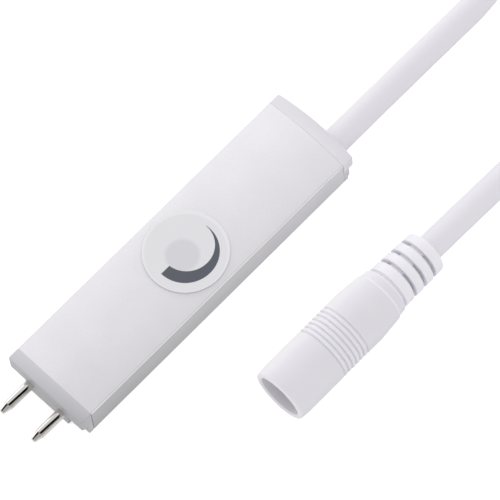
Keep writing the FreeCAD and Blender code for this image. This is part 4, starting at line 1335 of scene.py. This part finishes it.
@dataclass(frozen=True)
class SwitchHousing:
    """Aluminium housing with its two end caps."""

    metal_edge: float = 0.4 * MM
    hole_edge: float = 0.08 * MM
    cap_edge: float = 0.18 * MM
    front_edge: float = 0.8 * MM
    seam: float = 0.03 * MM
    side_seam: float = 0.1 * MM
    seam_share: float = 0.1
    seam_reach: float = 1.0 * MM
    end_reach: float = 0.5 * MM
    cap_reach: float = 0.2 * MM
    edge_reach: float = 0.1 * MM
    corner_reach: float = 0.05 * MM

    def build(self) -> None:
        """Round the edges of what shows, close the seams at the top and dress it."""
        shell = softened_copy("housing", "housing_shell", self.metal_edge, self.shell_softness)
        settle(shell, Slot.HOUSING, "housing")
        near = softened_copy(
            "pin_end_cap", "near_cap", self.front_edge, self.near_softness, self.near_closing
        )
        settle(near, Slot.PIN_CAP, "pin_end_cap")
        far = softened_copy("cord_end_cap", "far_cap", self.cap_edge, self.cap_softness, self.far_closing)
        settle(far, Slot.CAP, "cord_end_cap")

    @staticmethod
    def at_top(place: Vector, reach: float) -> bool:
        """Whether a place is within reach of the height of the housing's top."""
        return place.z > HOUSING_HIGH.z - reach

    def shell_softness(self, place: Vector) -> float:
        """Full along the upper edges, less at the holes, nearly sharp at both ends.

        Args:
            place: An edge's middle.

        Returns:
            The share of the round's full width.
        """
        if not HOUSING_LOW.x + self.seam < place.x < HOUSING_HIGH.x - self.end_reach:
            return self.seam_share
        at_side = abs(place.y) > HOUSING_HIGH.y - self.edge_reach
        upper = at_side and self.at_top(place, self.edge_reach)
        return 1.0 if upper else self.hole_edge / self.metal_edge

    def cap_softness(self, place: Vector) -> float:
        """Nearly sharp next to the housing, full elsewhere."""
        beside = HOUSING_LOW.x - self.seam_reach < place.x < HOUSING_HIGH.x + self.cap_reach
        return self.seam_share if beside else 1.0

    def near_softness(self, place: Vector) -> float:
        """Full at the top edge of the near cap's front, and as narrow as on the far cap elsewhere.

        Args:
            place: An edge's middle.

        Returns:
            The share of the round's full width.
        """
        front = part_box("pin_end_cap")[0].x
        at_front = place.x < front + self.edge_reach and self.at_top(place, self.edge_reach)
        return 1.0 if at_front else self.cap_softness(place) * self.cap_edge / self.front_edge

    def near_closing(self, place: Vector) -> float:
        """Move the near cap's flange up to the housing at the top, and away from it on the sides.

        Args:
            place: A corner of the cap.

        Returns:
            How far it moves along X.
        """
        gap = HOUSING_LOW.x - place.x
        if not 0 < gap < 2 * self.seam:
            return 0.0
        return gap if self.at_top(place, self.corner_reach) else -self.side_seam

    def far_closing(self, place: Vector) -> float:
        """Move the far cap's top towards the housing's end."""
        at_end = place.x < HOUSING_HIGH.x + self.corner_reach
        return -self.seam / 2 if at_end and self.at_top(place, self.corner_reach) else 0.0


@dataclass(frozen=True)
class ContactPins:
    """Two round pins with a shoulder, a taper and a blunt nose."""

    radius: float = 0.9 * MM
    shoulder: float = 0.08 * MM
    shoulder_round: float = 0.03 * MM
    taper_length: float = 1.55 * MM
    tip_radius: float = 0.48 * MM
    nose_round: float = 0.2 * MM
    seat: float = 0.02 * MM
    small_round: float = 0.02 * MM
    shank_radius: float = 0.45 * MM

    def build(self) -> None:
        """Make both pins in their places."""
        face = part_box("pin_end_cap")[0].x
        for node in ("left_pin", "right_pin"):
            tip, length = near_end(node)
            outline = self.outline(length, face - self.seat - tip.x)
            pin = turned_mesh("contact_" + node, outline, Matrix.Translation(tip), steps=96)
            settle(pin, Slot.PIN, node)

    def outline(self, length: float, reach: float) -> Profile:
        """Outline of a pin.

        Args:
            length: The pin's whole length.
            reach: How far it stands out of the cap.

        Returns:
            Points as distance from the tip and radius.
        """
        corners = [
            (0.0, 0.0),
            (0.0, self.tip_radius, self.nose_round),
            (self.taper_length, self.radius - self.shoulder, self.small_round),
            (self.taper_length, self.radius, self.shoulder_round),
            (reach, self.radius, self.small_round),
            (reach, self.shank_radius),
            (length, self.shank_radius),
            (length, 0.0),
        ]
        return rounded_outline(corners)


@dataclass(frozen=True)
class TouchKey:
    """Raised milky disc with its printed level arc."""

    bevel: float = 0.12 * MM
    lip: float = 0.5 * MM
    lip_height: float = 0.28 * MM
    skirt_wall: float = 0.8 * MM
    skirt_round: float = 0.1 * MM
    thickness: float = 1.0 * MM
    arc_radius: float = 5.75 * MM
    arc_inner_radius: float = 4.72 * MM
    arc_shift: tuple[float, float] = (0.94 * MM, 0.6 * MM)
    arc_end: float = 0.2 * MM
    arc_steps: int = 120
    tip_cut: float = 0.5 * MM
    film: float = 0.01 * MM

    def build(self) -> None:
        """Make the disc and the print on it."""
        middle = (DISC_LOW + DISC_HIGH) / 2
        upright = Matrix(((0, 1, 0, middle.x), (0, 0, 1, middle.y), (1, 0, 0, DISC_LOW.z), (0, 0, 0, 1)))
        disc = turned_mesh("touch_key", self.outline(), upright, steps=200)
        settle(disc, Slot.DISC, "touch_disc")
        settle(self.level_print(Vector((middle.x, middle.y, DISC_HIGH.z))), Slot.PRINT, "level_arc")

    def outline(self) -> Profile:
        """Outline of the disc with its lip and its skirt.

        Returns:
            Points as height above the skirt's foot and radius.
        """
        # The disc's tabs add to its size along X, but not across
        radius = (DISC_HIGH.y - DISC_LOW.y) / 2
        height = DISC_HIGH.z - DISC_LOW.z
        skirt = radius - self.lip
        corners = [
            (0.0, skirt),
            (height - self.lip_height, skirt),
            (height - self.lip_height, radius),
            (height, radius, self.bevel),
            (height, 0.0),
            (height - self.thickness, 0.0),
            (height - self.thickness, skirt - self.skirt_wall, self.skirt_round),
            (0.0, skirt - self.skirt_wall),
        ]
        return rounded_outline(corners, steps=12)

    def level_print(self, centre: Vector) -> bpy.types.Object:
        """Make the tapering arc as a thin film on the disc.

        Args:
            centre: The middle of the disc's top.

        Returns:
            The film's object.
        """
        outline = self.arc_outline()
        shape = bmesh.new()
        low = [shape.verts.new(centre + Vector((x, y, -self.film))) for x, y in outline]
        high = [shape.verts.new(centre + Vector((x, y, self.film))) for x, y in outline]
        shape.faces.new(low)
        shape.faces.new(high)
        join_loops(shape, low, high)
        return finished_object("level_print", shape)

    def arc_outline(self) -> Profile:
        """Outline of the tapering arc: an outer round, and a smaller round beside its middle.

        Returns:
            Points from the disc's middle.
        """
        shift = Vector(self.arc_shift)
        start = math.pi - math.asin(self.arc_end / self.arc_radius)
        end = 2 * math.pi + self.tip_angle(shift) - self.tip_cut / self.arc_radius
        outer = arc(Vector((0, 0)), self.arc_radius, start, end, self.arc_steps)
        tip = Vector(outer[-1]) - shift
        first = math.atan2(tip.y, tip.x)
        last = -math.pi + math.asin((shift.y - self.arc_end) / self.arc_inner_radius)
        return outer + arc(shift, self.arc_inner_radius, first, last, self.arc_steps)

    def tip_angle(self, shift: Vector) -> float:
        """Where the two rounds meet, as an angle about the disc's middle.

        Args:
            shift: The inner round's place.

        Returns:
            The lower of the two angles where they meet.
        """
        gap = shift.length
        along = (gap**2 + self.arc_radius**2 - self.arc_inner_radius**2) / (2 * gap)
        return math.atan2(shift.y, shift.x) - math.acos(min(1.0, along / self.arc_radius))


def dress_frame() -> None:
    """Give every CAD node the finish of its slot."""
    slots = {entry["node"]: Slot(entry["material_slot"]) for entry in frame["record"]["subparts"]}
    for node, made in frame["nodes"].items():
        for place in made.material_slots:
            place.material = FINISHES[slots[node]].material()
    LOG.info("dressed %d CAD nodes", len(frame["nodes"]))


def main() -> None:
    """Build the camera, the lead, the pieces and the studio."""
    logging.basicConfig(level=logging.INFO, format="%(name)s: %(message)s")
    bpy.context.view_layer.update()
    bpy.context.scene.view_settings.view_transform = "Standard"
    PhotoCamera().place()
    lead = PowerLead()
    cord = lead.build()
    dress_frame()
    on_lead = SocketConnector().build()
    SwitchHousing().build()
    ContactPins().build()
    TouchKey().build()
    Studio().build()


if __name__ == "__main__":
    main()
